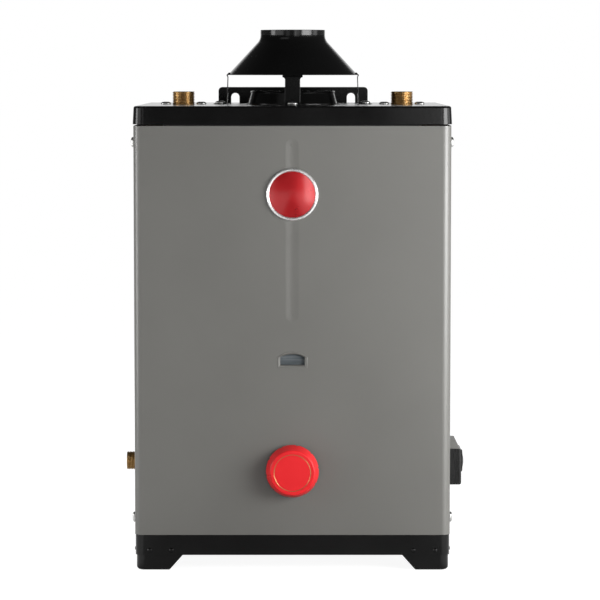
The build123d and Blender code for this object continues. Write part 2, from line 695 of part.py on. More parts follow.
def cover_shell(inset, bottom, top):
    width = CABINET_WIDTH + 2 * (COVER_OVERHANG - inset)
    depth = CABINET_DEPTH + 2 * (COVER_OVERHANG - inset)
    outline = Plane.XY.offset(bottom) * RectangleRounded(width, depth, COVER_CORNER_RADIUS - inset)
    shell = extrude(outline, amount=top - bottom, taper=COVER_TAPER)
    return fillet(shell.faces().sort_by(Axis.Z)[-1].edges(), COVER_EDGE_RADIUS - inset)


def top_cover():
    cover = cover_shell(0, COVER_BOTTOM, COVER_TOP)
    cover -= cover_shell(COVER_SHEET, COVER_BOTTOM, COVER_TOP - COVER_SHEET)
    through = (COVER_TOP - 5, COVER_TOP + 5)
    openings = [rod_z(FLUE_RADIUS + FLUE_CLEARANCE, 0, 0, through)]
    for side in SIDES:
        openings.append(rod_z(NIPPLE_RADIUS + FLUE_CLEARANCE, side * NIPPLE_X, 0, through))
    return cover - openings - holes(nipple_screw_spots() + leg_screw_spots(), SCREW_RADIUS)


def wall_bracket():
    """Stand-off strip on the back with two upright hanging slots above the cover."""
    back = HALF_DEPTH
    step = BRACKET_STEP
    out = BRACKET_BACK
    t = BRACKET_SHEET
    low = step - BRACKET_FLANGE_HEIGHT
    profile = [(back, low), (back + t, low), (back + t, step - t), (out, step - t), (out, BRACKET_TOP),
               (out - t, BRACKET_TOP), (out - t, step), (back, step)]
    bracket = prism([(-BRACKET_WIDTH / 2, y, z) for y, z in profile], (1, 0, 0), BRACKET_WIDTH)
    corners = [edge for edge in bracket.edges().filter_by(Axis.Y)
               if edge.center().Z > BRACKET_TOP - 1 or edge.center().Z < low + 1]
    bracket = fillet(corners, BRACKET_CORNER_RADIUS)
    middle = BRACKET_TOP - SLOT_FROM_TOP - SLOT_LENGTH / 2
    for side in SIDES:
        centre = (side * SLOT_SPACING / 2, out - 2 * t, middle)
        face = Plane(origin=centre, x_dir=(0, 0, 1), z_dir=(0, 1, 0))
        bracket -= extrude(face * SlotOverall(SLOT_LENGTH, SLOT_WIDTH), amount=4 * t)
    return bracket - holes(bracket_rivet_spots(), RIVET_RADIUS)


def on_front(shape, z):
    """A shape turned about Z, laid on the front panel with its top outwards."""
    return Plane(origin=(0, FRONT, z), z_dir=(0, -1, 0)) * shape


def badge_bezel():
    inner = BADGE_RADIUS - BADGE_RIM_WIDTH
    ring = turned([(0, 0), (BADGE_RADIUS, 0), (BADGE_RADIUS, BADGE_RIM_HEIGHT * 0.45),
                   (BADGE_RADIUS - BADGE_RIM_WIDTH * 0.3, BADGE_RIM_HEIGHT * 0.9),
                   (BADGE_RADIUS - BADGE_RIM_WIDTH * 0.55, BADGE_RIM_HEIGHT),
                   (inner, BADGE_RIM_HEIGHT * 0.75), (inner, BADGE_BACK), (0, BADGE_BACK)])
    return on_front(ring, BADGE_Z)


def badge_face():
    radius = BADGE_RADIUS - BADGE_RIM_WIDTH - BADGE_CLEARANCE
    return on_front(Pos(0, 0, BADGE_BACK) * domed(radius, BADGE_EDGE, BADGE_DOME), BADGE_Z)


def sight_glass():
    return window_plate(WINDOW_LAP, GASKET_FACE + GASKET_THICKNESS, GLASS_THICKNESS)


def sight_glass_gasket():
    ring = window_plate(WINDOW_LAP, GASKET_FACE, GASKET_THICKNESS)
    return ring - window_plate(1, GASKET_FACE - 1, 10)


def cone_radius(z):
    """Outside of the hood cone at a height."""
    run = HOOD_RIM_RADIUS - VENT_RADIUS - HOOD_SHEET
    return HOOD_RIM_RADIUS - run * (z - HOOD_RIM) / HOOD_CONE_HEIGHT


def draft_hood():
    run = HOOD_RIM_RADIUS - VENT_RADIUS - HOOD_SHEET
    wall = HOOD_SHEET * sqrt(1 + (run / HOOD_CONE_HEIGHT) ** 2)
    neck = CONE_TOP - (wall - HOOD_SHEET) * HOOD_CONE_HEIGHT / run
    hood = turned([(HOOD_RIM_RADIUS, HOOD_RIM), (VENT_RADIUS + HOOD_SHEET, CONE_TOP),
                   (VENT_RADIUS + HOOD_SHEET, VENT_TOP), (VENT_RADIUS, VENT_TOP),
                   (VENT_RADIUS, neck), (HOOD_RIM_RADIUS - wall, HOOD_RIM)])
    for height, blend in ((CONE_TOP, HOOD_BLEND_RADIUS), (neck, HOOD_BLEND_RADIUS + HOOD_SHEET)):
        circles = hood.edges().filter_by(GeomType.CIRCLE)
        hood = fillet([edge for edge in circles if abs(edge.center().Z - height) < 0.01], blend)
    return hood


def hood_leg(turn):
    """Flat strap from the cover up to the hood rim, lapped on the cone, with a screwed foot."""
    run = HOOD_RIM_RADIUS - VENT_RADIUS - HOOD_SHEET
    lap = LEG_SHEET * sqrt(1 + (run / HOOD_CONE_HEIGHT) ** 2)
    top = HOOD_RIM + LEG_LAP
    shoulder = HOOD_RIM - LEG_SHOULDER_DROP
    inner = LEG_RADIUS - LEG_SHEET
    rim_lap = cone_radius(HOOD_RIM) + LEG_LAP_GAP
    top_lap = cone_radius(top) + LEG_LAP_GAP
    side = [(inner + LEG_SPLAY, COVER_TOP), (LEG_RADIUS + LEG_SPLAY, COVER_TOP), (LEG_RADIUS, shoulder),
            (rim_lap + lap, HOOD_RIM), (top_lap + lap, top), (top_lap, top), (rim_lap, HOOD_RIM),
            (inner, shoulder)]
    half = LEG_WIDTH / 2
    wide = half + LEG_FLARE
    bend = LEG_FLARE * sin(radians(45))
    flare = shoulder - LEG_FLARE
    outline = Polyline((0, half, flare), (0, half, COVER_TOP), (0, -half, COVER_TOP), (0, -half, flare))
    outline += ThreePointArc((0, -half, flare), (0, bend - wide, flare + bend), (0, -wide, shoulder))
    outline += Polyline((0, -wide, shoulder), (0, -wide, top), (0, wide, top), (0, wide, shoulder))
    outline += ThreePointArc((0, wide, shoulder), (0, wide - bend, flare + bend), (0, half, flare))
    strap = prism([(r, -wide, z) for r, z in side], (0, 1, 0), 2 * wide)
    strap &= extrude(make_face(outline), amount=2 * HOOD_RIM_RADIUS, dir=(1, 0, 0))
    heel = inner + LEG_SPLAY
    reach = LEG_RADIUS + LEG_FOOT_LENGTH
    height = (COVER_TOP, COVER_TOP + LEG_SHEET)
    sole = block((heel, reach - half), (-half, half), height)
    sole += rod_z(half, reach - half, 0, height) & block((heel, reach), (-half, half), height)
    leg = strap + sole
    for level, bend in ((height[1], LEG_BEND), (height[0], LEG_BEND + LEG_SHEET)):
        folds = [edge for edge in leg.edges().filter_by(Axis.Y)
                 if abs(edge.center().Z - level) < 0.01 and edge.center().X < heel + 2 * LEG_SHEET]
        leg = fillet(folds, bend)
    leg = Rot(0, 0, turn) * leg
    return leg - holes(leg_screw_spots(), SCREW_RADIUS, 5.0)


def flue_collar():
    top = COVER_TOP + COLLAR_HEIGHT
    seat = COVER_TOP + COLLAR_SHEET
    flange = COLLAR_FOOT_RADIUS + COLLAR_FLANGE
    return turned([(flange, COVER_TOP), (flange, seat), (COLLAR_FOOT_RADIUS, seat),
                   (COLLAR_TOP_RADIUS, top - 2 * COLLAR_BEAD),
                   (COLLAR_TOP_RADIUS + COLLAR_BEAD, top - COLLAR_BEAD),
                   (COLLAR_TOP_RADIUS, top), (COLLAR_TOP_RADIUS - COLLAR_SHEET, top),
                   (COLLAR_FOOT_RADIUS - COLLAR_SHEET, COVER_TOP)])


def tank_shell():
    shell = pipe_z(TANK_RADIUS, TANK_SHEET, 0, (DECK, TANK_TOP))
    access = (DECK - 1, DECK + ACCESS_HEIGHT)
    shell -= block((-ACCESS_HALF_WIDTH, ACCESS_HALF_WIDTH), (-TANK_RADIUS - 5, 0), access)
    shell -= window_plate(SIGHT_HOLE_MARGIN, -TANK_RADIUS - 5, 30)
    return shell - rod_y(BULB_RADIUS + HEAD_CLEARANCE, BULB_X, (-TANK_RADIUS - 5, -TANK_RADIUS / 2), BULB_Z)


def tank_head(level):
    """Dished head: a flange inside the shell and a cone rising to the flue."""
    outer = TANK_RADIUS - TANK_SHEET - HEAD_CLEARANCE
    flue = FLUE_RADIUS + HEAD_CLEARANCE
    return turned([(outer, level - HEAD_FLANGE), (outer, level), (flue, level + HEAD_DOME),
                   (flue, level + HEAD_DOME - TANK_SHEET), (outer - TANK_SHEET, level - TANK_SHEET),
                   (outer - TANK_SHEET, level - HEAD_FLANGE)])


def tank_top_head():
    head = tank_head(TANK_TOP)
    for side in SIDES:
        head -= rod_z(NIPPLE_RADIUS + HEAD_CLEARANCE, side * NIPPLE_X, 0, (TANK_TOP - 30, TANK_TOP + 30))
    return head - rod_z(ANODE_RADIUS + HEAD_CLEARANCE, 0, ANODE_OFFSET, (TANK_TOP - 30, TANK_TOP + 30))


def tank_bottom_head():
    return tank_head(TANK_BOTTOM)


def flue_tube():
    bottom = TANK_BOTTOM + HEAD_DOME - TANK_SHEET - FLUE_BELOW_HEAD
    return pipe_z(FLUE_RADIUS, FLUE_SHEET, 0, (bottom, FLUE_TOP))


def flue_baffle():
    """Folded strip hung across the top of the flue."""
    top = FLUE_TOP - BAFFLE_FROM_FLUE_TOP
    left = []
    for fold in range(BAFFLE_FOLDS + 1):
        left.append(((-1) ** fold * BAFFLE_SWING - BAFFLE_SHEET, top - fold * BAFFLE_PITCH))
    right = [(x + 2 * BAFFLE_SHEET, z) for x, z in reversed(left)]
    strip = prism([(x, -BAFFLE_WIDTH / 2, z) for x, z in left + right], (0, 1, 0), BAFFLE_WIDTH)
    reach = FLUE_RADIUS - FLUE_SHEET - BAFFLE_CLEARANCE
    hanger = block((-reach, reach), (-BAFFLE_HANGER_WIDTH / 2, BAFFLE_HANGER_WIDTH / 2),
                   (top - 3 * BAFFLE_SHEET, top - BAFFLE_SHEET))
    return strip + hanger


def pipe_nipple(side):
    bottom = TANK_TOP - NIPPLE_BELOW_TANK_TOP
    start = NIPPLE_TOP - THREAD_CHAMFER - NIPPLE_TURNS * PIPE_THREAD_PITCH
    plain = NIPPLE_RADIUS - THREAD_RELIEF
    nipple = turned([(NIPPLE_BORE, bottom), (plain, bottom), (plain, start)]
                    + threaded_edge(NIPPLE_RADIUS, start, NIPPLE_TURNS)
                    + [(NIPPLE_RADIUS - THREAD_CHAMFER, NIPPLE_TOP), (NIPPLE_BORE, NIPPLE_TOP)])
    return Pos(side * NIPPLE_X, 0, 0) * nipple


def dip_tube():
    bottom = TANK_BOTTOM + DIP_TUBE_ABOVE_BOTTOM
    top = TANK_TOP - NIPPLE_BELOW_TANK_TOP + DIP_TUBE_IN_NIPPLE
    return pipe_z(DIP_TUBE_RADIUS, DIP_TUBE_WALL, NIPPLE_X, (bottom, top))


def anode_rod():
    seat = TANK_TOP + HEAD_DOME
    plug = extrude(Plane.XY.offset(seat) * Pos(0, ANODE_OFFSET) * RegularPolygon(ANODE_PLUG_RADIUS, 6),
                   amount=ANODE_PLUG_HEIGHT)
    return plug + rod_z(ANODE_RADIUS, 0, ANODE_OFFSET, (seat - ANODE_LENGTH, seat))


def tank_insulation():
    bottom = TANK_BOTTOM + INSULATION_ABOVE_BOTTOM
    ceiling = TANK_TOP + HEAD_DOME + INSULATION_ABOVE_HEAD
    wrap = rod_z(TANK_RADIUS + INSULATION, 0, 0, (bottom, ceiling + INSULATION_TOP_THICKNESS))
    wrap -= rod_z(TANK_RADIUS + WRAP_CLEARANCE, 0, 0, (bottom - 1, ceiling))
    wrap -= rod_z(FLUE_RADIUS + WRAP_CLEARANCE, 0, 0, (ceiling - 1, COVER_TOP))
    for side in SIDES:
        wrap -= rod_z(NIPPLE_RADIUS + WRAP_CLEARANCE, side * NIPPLE_X, 0, (ceiling - 1, COVER_TOP))
    plug_height = (ceiling - 1, ceiling + ANODE_PLUG_HEIGHT + PLUG_ROOM[1])
    return wrap - rod_z(ANODE_PLUG_RADIUS + PLUG_ROOM[0], 0, ANODE_OFFSET, plug_height)


def gas_valve_body():
    half = VALVE_WIDTH / 2
    body = block((-half, half), (VALVE_FRONT, VALVE_BACK), (VALVE_BASE, VALVE_TOP))
    body = fillet(body.edges().filter_by(Axis.Y), VALVE_EDGE_RADIUS)
    body += rod_y(VALVE_NECK_RADIUS, 0, (VALVE_FRONT - VALVE_NECK_LENGTH, VALVE_FRONT), CONTROL_Z)
    inlet = GAS_PIPE_RADIUS + PORT_CLEARANCE
    stem_hole = (VALVE_FRONT - VALVE_NECK_LENGTH - 1, BORE_FRONT + 1)
    port = (VALVE_TOP - PORT_DEPTH, VALVE_TOP + 1)
    return body - [
        rod_y(VALVE_BORE, 0, (BORE_FRONT, VALVE_BACK + 1), CONTROL_Z),
        rod_y(STEM_RADIUS + RUNNING_GAP, 0, stem_hole, CONTROL_Z),
        rod_x(inlet, (-half - 1, -half + PORT_DEPTH), GAS_LINE_Y, SERVICE_Z),
        rod_x(GAS_PIPE_BORE, (-half, -VALVE_BORE + PORT_BREAKTHROUGH), GAS_LINE_Y, SERVICE_Z),
        rod_z(MANIFOLD_RADIUS + PORT_CLEARANCE, 0, MANIFOLD_Y, port),
        rod_z(MANIFOLD_PASSAGE, 0, MANIFOLD_Y, (CONTROL_Z + VALVE_BORE - PORT_BREAKTHROUGH, VALVE_TOP)),
        rod_z(PILOT_TUBE_RADIUS + PORT_CLEARANCE, PILOT_X, SMALL_TUBE_Y, port),
        rod_z(THERMOCOUPLE_LEAD_RADIUS + PORT_CLEARANCE, THERMOCOUPLE_X, SMALL_TUBE_Y, port),
        rod_z(CAPILLARY_RADIUS + PORT_CLEARANCE, CAPILLARY_PORT_X, CAPILLARY_PORT_Y, port),
    ]


def valve_rear_cover():
    half = REAR_COVER_SIZE / 2
    plate = block((-half, half), (VALVE_BACK, VALVE_BACK + REAR_COVER_THICKNESS),
                  (CONTROL_Z - half, CONTROL_Z + half))
    boss = rod_y(VALVE_BORE - RUNNING_GAP, 0, (COCK_BACK + RUNNING_GAP, VALVE_BACK + 1), CONTROL_Z)
    return fillet(plate.edges().filter_by(Axis.Y), VALVE_EDGE_RADIUS) + boss


def d_rod(radius, flat, y):
    """D-section bar on the control axis, flat side up."""
    bar = rod_y(radius, 0, y, CONTROL_Z)
    return bar & block((-radius, radius), y, (CONTROL_Z - radius, CONTROL_Z + flat))


def valve_stem():
    end = COCK_FRONT + STEM_IN_COCK
    stem = rod_y(STEM_RADIUS, 0, (KNOB_BACK, COCK_FRONT - SPRING_LENGTH / 2), CONTROL_Z)
    stem += d_rod(STEM_RADIUS, STEM_FLAT, (COCK_FRONT - SPRING_LENGTH / 2, end))
    stem += d_rod(STEM_RADIUS, STEM_FLAT, (KNOB_BACK - STEM_IN_KNOB, KNOB_BACK))
    shoulder = (SHOULDER_FRONT, SHOULDER_FRONT + STEM_SHOULDER)
    return stem + rod_y(STEM_SHOULDER_RADIUS, 0, shoulder, CONTROL_Z)


def pilot_plunger():
    ring = rod_y(VALVE_BORE - RUNNING_GAP, 0, (PLUNGER_FRONT, PLUNGER_BACK), CONTROL_Z)
    return ring - rod_y(STEM_RADIUS + RUNNING_GAP, 0, (PLUNGER_FRONT - 1, PLUNGER_BACK + 1), CONTROL_Z)


def plunger_spring():
    height = SPRING_LENGTH - 2 * (SPRING_WIRE + SPRING_PLAY)
    coil = Helix(height / SPRING_TURNS, height, SPRING_RADIUS)
    wire = sweep(Plane(origin=coil @ 0, z_dir=coil % 0) * Circle(SPRING_WIRE), path=coil, is_frenet=True)
    return Plane(origin=(0, PLUNGER_BACK + SPRING_WIRE + SPRING_PLAY, CONTROL_Z), z_dir=(0, 1, 0)) * wire


def valve_cock():
    cock = rod_y(VALVE_BORE - RUNNING_GAP, 0, (COCK_FRONT, COCK_BACK), CONTROL_Z)
    return cock - d_rod(STEM_RADIUS + RUNNING_GAP, STEM_FLAT + RUNNING_GAP, (COCK_FRONT - 1, COCK_BACK + 1))


def around_knob(angle, radius):
    """X and Z at an angle and distance from the control axis, seen from the front."""
    return radius * cos(radians(angle)), CONTROL_Z + radius * sin(radians(angle))


def control_knob():
    lip = KNOB_DEPTH - KNOB_CAP_THICKNESS
    knob = turned([(0, 0), (KNOB_RADIUS, 0), (KNOB_FRONT_RADIUS, KNOB_DEPTH), (0, KNOB_DEPTH)])
    knob = fillet(knob.edges().filter_by(lambda e: abs(e.center().Z - KNOB_DEPTH) < 0.01), KNOB_EDGE_RADIUS)
    roof = lip - KNOB_WEB
    hollow = turned([(KNOB_HUB_RADIUS, -1), (KNOB_RADIUS - KNOB_SKIN, -1),
                     (KNOB_FRONT_RADIUS - KNOB_SKIN, roof), (KNOB_HUB_RADIUS, roof)])
    knob -= hollow
    knob -= rod_z(KNOB_CAP_RADIUS + KNOB_CAP_CLEARANCE, 0, 0, (lip, KNOB_DEPTH + 1))
    knob = Plane(origin=(0, KNOB_BACK, CONTROL_Z), z_dir=(0, -1, 0)) * knob
    knob -= d_rod(STEM_RADIUS + KNOB_BORE_CLEARANCE, STEM_FLAT + KNOB_BORE_CLEARANCE,
                  (KNOB_BACK - STEM_IN_KNOB - RUNNING_GAP, KNOB_BACK + 1))
    for flute in range(KNOB_FLUTES):
        angle = KNOB_FLUTE_ANGLE + flute * 360 / KNOB_FLUTES
        x, z = around_knob(angle, KNOB_RADIUS + KNOB_FLUTE_RADIUS - KNOB_FLUTE_DEPTH)
        knob -= rod_y(KNOB_FLUTE_RADIUS, x, (KNOB_FRONT - 1, KNOB_BACK + 1), z)
    start = KNOB_CAP_RADIUS + POINTER_FROM_CAP
    length = KNOB_FRONT_RADIUS - KNOB_EDGE_RADIUS - start
    x, z = around_knob(POINTER_ANGLE, start + length / 2)
    pointer = Box(length, 2 * POINTER_HEIGHT, POINTER_WIDTH)
    return knob + Pos(x, KNOB_FRONT, z) * Rot(0, -POINTER_ANGLE, 0) * pointer


def knob_cap():
    lip = KNOB_DEPTH - KNOB_CAP_THICKNESS
    cap = rod_z(KNOB_CAP_RADIUS, 0, 0, (lip, KNOB_DEPTH - KNOB_CAP_SUNK))
    cap = fillet(cap.edges().sort_by(Axis.Z)[-1], KNOB_CAP_EDGE)
    return Plane(origin=(0, KNOB_BACK, CONTROL_Z), z_dir=(0, -1, 0)) * cap


def gas_inlet_fitting():
    """Threaded stub through the left side, with a flange inside the panel and a pipe to the control."""
    length = HALF_WIDTH + GAS_STUB_PROUD - VALVE_WIDTH / 2 + PORT_DEPTH - PORT_SEAT
    seat = length - GAS_STUB_PROUD - PANEL_SHEET
    plain = GAS_STUB_RADIUS - THREAD_RELIEF
    tip = length - THREAD_CHAMFER
    start = tip - GAS_STUB_TURNS * PIPE_THREAD_PITCH
    step = GAS_FLANGE_THICKNESS
    fitting = turned([(GAS_PIPE_BORE, 0), (GAS_PIPE_RADIUS, 0), (GAS_PIPE_RADIUS, seat - 3 * step),
                      (plain, seat - 2 * step), (plain, seat - step), (GAS_FLANGE_RADIUS, seat - step),
                      (GAS_FLANGE_RADIUS, seat), (plain, seat), (plain, start)]
                     + threaded_edge(GAS_STUB_RADIUS, start, GAS_STUB_TURNS)
                     + [(GAS_STUB_RADIUS - THREAD_CHAMFER, length), (GAS_PIPE_BORE, length)])
    origin = (-VALVE_WIDTH / 2 + PORT_DEPTH - PORT_SEAT, GAS_LINE_Y, SERVICE_Z)
    return Plane(origin=origin, z_dir=(-1, 0, 0)) * fitting


def manifold_tube():
    points = [(0, MANIFOLD_Y, VALVE_TOP - PORT_DEPTH + PORT_SEAT), (0, MANIFOLD_Y, MIXER_Z),
              (0, ORIFICE_FRONT + ORIFICE_SOCKET, MIXER_Z)]
    return bent_tube(points, MANIFOLD_BEND, MANIFOLD_RADIUS)


def burner_orifice():
    hexagon = Plane(origin=(0, ORIFICE_FRONT, MIXER_Z), z_dir=(0, 1, 0)) * RegularPolygon(ORIFICE_RADIUS, 6)
    spud = extrude(hexagon, amount=ORIFICE_LENGTH * 0.6, dir=(0, 1, 0))
    spud += rod_y(ORIFICE_RADIUS * 0.6, 0, (ORIFICE_FRONT, ORIFICE_FRONT + ORIFICE_LENGTH), MIXER_Z)
    socket = (ORIFICE_FRONT - 1, ORIFICE_FRONT + ORIFICE_SOCKET)
    spud -= rod_y(MANIFOLD_RADIUS + ORIFICE_SOCKET_FIT, 0, socket, MIXER_Z)
    return spud - rod_y(ORIFICE_JET, 0, (ORIFICE_FRONT, ORIFICE_FRONT + ORIFICE_LENGTH + 1), MIXER_Z)


def main_burner():
    """Pressed burner bowl with a mixing tube out to the front."""
    wall = BURNER_SHEET
    bowl = rod_z(BURNER_RADIUS, 0, 0, (BURNER_Z, BURNER_TOP))
    inside = rod_z(BURNER_RADIUS - wall, 0, 0, (BURNER_Z + wall, BURNER_TOP + 1))
    length = -MIXER_FRONT - BURNER_RADIUS * 0.9
    mixer = turned([(0, 0), (MIXER_MOUTH_RADIUS, 0), (MIXER_RADIUS, length * 0.35),
                    (MIXER_RADIUS, length), (0, length)])
    inner = MIXER_RADIUS - wall
    bore = turned([(0, -1), (MIXER_MOUTH_RADIUS - wall, -1), (MIXER_MOUTH_RADIUS - wall, 0),
                   (inner, length * 0.35), (inner, length + 1), (0, length + 1)])
    lay = Plane(origin=(0, MIXER_FRONT, MIXER_Z), z_dir=(0, 1, 0))
    return (bowl - inside) + (lay * mixer - inside) - lay * bore


def burner_cap():
    cap = rod_z(BURNER_RADIUS + BURNER_CAP_LIP, 0, 0, (BURNER_TOP, BURNER_TOP + BURNER_CAP_THICKNESS))
    ports = []
    for radius, count in PORT_RINGS:
        for index in range(count):
            angle = radians(360 * index / count)
            ports.append(rod_z(FLAME_PORT_RADIUS, radius * cos(angle), radius * sin(angle),
                               (BURNER_TOP - 1, BURNER_TOP + BURNER_CAP_THICKNESS + 1)))
    return cap - ports


def burner_shelf():
    reach = TANK_RADIUS - TANK_SHEET - SHELF_CLEARANCE
    half = SHELF_WIDTH / 2
    shelf = block((-reach, reach), (-half, half), (BURNER_Z - SHELF_SHEET, BURNER_Z))
    for side in SIDES:
        x = sorted((side * reach, side * (reach - SHELF_SHEET)))
        shelf += block(x, (-half, half), (BURNER_Z - SHELF_SHEET, BURNER_Z - SHELF_SHEET + SHELF_TAB))
    return shelf


def pilot_burner():
    """Pilot with the small plate on the burner bowl that also carries its companions."""
    through = (PILOT_Z - 1, PILOT_Z + PILOT_PLATE + 1)
    base = PILOT_Z - PILOT_BELOW_PLATE
    top = base + PILOT_LENGTH
    plate = block((PILOT_X - PILOT_PLATE_MARGIN, ELECTRODE_X + PILOT_PLATE_MARGIN),
                  (PILOT_Y - PILOT_PLATE_MARGIN, -BURNER_RADIUS / 2), (PILOT_Z, PILOT_Z + PILOT_PLATE))
    plate -= rod_z(BURNER_RADIUS + SMALL_FIT, 0, 0, through)
    plate -= rod_z(THERMOCOUPLE_RADIUS + SMALL_FIT, THERMOCOUPLE_X, PILOT_Y, through)
    plate -= rod_z(ELECTRODE_RADIUS + SMALL_FIT, ELECTRODE_X, PILOT_Y, through)
    body = rod_z(PILOT_RADIUS, PILOT_X, PILOT_Y, (base, top))
    body -= rod_z(PILOT_RADIUS - PILOT_CUP_WALL, PILOT_X, PILOT_Y, (top - PILOT_LENGTH / 2, top + 1))
    socket = rod_z(PILOT_TUBE_RADIUS + SMALL_FIT, PILOT_X, PILOT_Y, (base - 1, PILOT_Z - PILOT_TUBE_SEAT))
    return plate + body - socket


def small_line(x, top, radius):
    """Tube or wire from the top of the control across and up to the pilot plate."""
    level = (VALVE_TOP + PILOT_Z) / 2 - SMALL_TUBE_DROP
    points = [(x, SMALL_TUBE_Y, VALVE_TOP - PORT_DEPTH + PORT_SEAT), (x, SMALL_TUBE_Y, level),
              (x, PILOT_Y, level), (x, PILOT_Y, top)]
    return bent_tube(points, SMALL_BEND, radius)


def pilot_tube():
    return small_line(PILOT_X, PILOT_Z - PILOT_TUBE_SEAT - SMALL_FIT, PILOT_TUBE_RADIUS)


def thermocouple():
    base = PILOT_Z - THERMOCOUPLE_BELOW_PLATE
    tip = rod_z(THERMOCOUPLE_RADIUS, THERMOCOUPLE_X, PILOT_Y, (base, PILOT_Z + THERMOCOUPLE_ABOVE_PLATE))
    tip = fillet(tip.edges().sort_by(Axis.Z)[-1], THERMOCOUPLE_RADIUS * 0.8)
    return small_line(THERMOCOUPLE_X, base + 1, THERMOCOUPLE_LEAD_RADIUS) + tip


def igniter_electrode():
    top = PILOT_Z + ELECTRODE_ABOVE_PLATE
    tip = PILOT_Z + ELECTRODE_TIP_RISE
    ceramic = rod_z(ELECTRODE_RADIUS, ELECTRODE_X, PILOT_Y, (PILOT_Z - ELECTRODE_BELOW_PLATE, top))
    points = [(ELECTRODE_X, PILOT_Y, top - ELECTRODE_WIRE_ROOT), (ELECTRODE_X, PILOT_Y, tip),
              (PILOT_X + PILOT_RADIUS + SPARK_GAP, PILOT_Y - PILOT_RADIUS, tip)]
    return ceramic + bent_tube(points, ELECTRODE_WIRE_BEND, ELECTRODE_WIRE_RADIUS)


def igniter_lead():
    level = (VALVE_TOP + PILOT_Z) / 2
    drop = PIEZO_END - LEAD_BEHIND_PIEZO
    points = [(ELECTRODE_X, PILOT_Y, PILOT_Z - ELECTRODE_BELOW_PLATE), (ELECTRODE_X, PILOT_Y, level),
              (ELECTRODE_X, IGNITER_Y, level),
              (drop, IGNITER_Y, level), (drop, IGNITER_Y, SERVICE_Z), (PIEZO_END, IGNITER_Y, SERVICE_Z)]
    return bent_tube(points, LEAD_BEND, LEAD_RADIUS)


def thermostat_bulb():
    """Bulb in the tank with its capillary down to the control."""
    bulb = rod_y(BULB_RADIUS, BULB_X, (BULB_Y - BULB_PROUD, BULB_Y + BULB_LENGTH), BULB_Z)
    level = (VALVE_TOP + BULB_Z) / 2
    slope = CAPILLARY_JOG[0] / 1.5
    points = [(CAPILLARY_PORT_X, CAPILLARY_PORT_Y, VALVE_TOP - PORT_DEPTH + PORT_SEAT),
              (CAPILLARY_PORT_X, CAPILLARY_PORT_Y, level - slope), (BULB_X, CAPILLARY_Y, level + slope),
              (BULB_X, CAPILLARY_Y, BULB_Z), (BULB_X, BULB_Y - BULB_PROUD + 1, BULB_Z)]
    return bulb + bent_tube(points, CAPILLARY_BEND, CAPILLARY_RADIUS)


def valve_stand():
    half = VALVE_STAND_WIDTH / 2
    t = VALVE_STAND_SHEET
    y = (VALVE_FRONT + VALVE_STAND_MARGIN, VALVE_BACK - VALVE_STAND_MARGIN)
    stand = block((-half, half), y, (VALVE_BASE - t, VALVE_BASE))
    for side in SIDES:
        stand += block(sorted((side * half, side * (half - t))), y, (DECK, VALVE_BASE))
        stand += block(sorted((side * half, side * (half + VALVE_STAND_FOOT))), y, (DECK, DECK + t))
    return stand


def igniter_housing():
    y = (IGNITER_Y - IGNITER_WIDTH / 2, IGNITER_Y + IGNITER_WIDTH / 2)
    box = block((HALF_WIDTH, IGNITER_FACE), y, (IGNITER_BASE, IGNITER_TOP))
    outer = box.faces().sort_by(Axis.X)[-1].edges()
    box = fillet(outer, IGNITER_EDGE_RADIUS)
    box += rod_x(BEZEL_RADIUS, (IGNITER_FACE - 1, IGNITER_FACE + BEZEL_PROUD), IGNITER_Y, SERVICE_Z)
    bore = (HALF_WIDTH - 1, IGNITER_FACE + BEZEL_PROUD + 1)
    return box - rod_x(BUTTON_RADIUS + RUNNING_GAP, bore, IGNITER_Y, SERVICE_Z)


def igniter_button():
    back = Plane(origin=(BUTTON_BACK, IGNITER_Y, SERVICE_Z), z_dir=(1, 0, 0))
    head = back * domed(BUTTON_RADIUS, BUTTON_SKIRT, BUTTON_DOME)
    stem = (BUTTON_BACK - BUTTON_STEM_LENGTH, BUTTON_BACK + 1)
    return head + rod_x(BUTTON_STEM_RADIUS, stem, IGNITER_Y, SERVICE_Z)


def igniter_piezo():
    body = rod_x(PIEZO_RADIUS, (PIEZO_END, PIEZO_FRONT), IGNITER_Y, SERVICE_Z)
    back = HALF_WIDTH - PANEL_SHEET
    body += rod_x(PIEZO_FLANGE_RADIUS, (back - PIEZO_FLANGE, back), IGNITER_Y, SERVICE_Z)
    return body - rod_x(BUTTON_STEM_RADIUS + RUNNING_GAP, (PIEZO_FRONT - PIEZO_BORE_DEPTH, PIEZO_FRONT + 1),
                        IGNITER_Y, SERVICE_Z)


def igniter_drip_hood():
    """Folded hood over the igniter, open below."""
    t = PANEL_SHEET
    top = IGNITER_TOP + DRIP_HOOD_HEIGHT
    lip = HALF_WIDTH + DRIP_HOOD_LIP
    crown = HALF_WIDTH + DRIP_HOOD_TOP
    outer = [(HALF_WIDTH, IGNITER_TOP), (lip, IGNITER_TOP), (crown, top), (HALF_WIDTH, top)]
    inner = [(HALF_WIDTH - t, IGNITER_TOP - 1), (lip - t, IGNITER_TOP - 1), (crown - t, top - t),
             (HALF_WIDTH - t, top - t)]
    y = IGNITER_Y - DRIP_HOOD_WIDTH / 2
    hood = prism([(x, y, z) for x, z in outer], (0, 1, 0), DRIP_HOOD_WIDTH)
    return hood - prism([(x, y + t, z) for x, z in inner], (0, 1, 0), DRIP_HOOD_WIDTH - 2 * t)


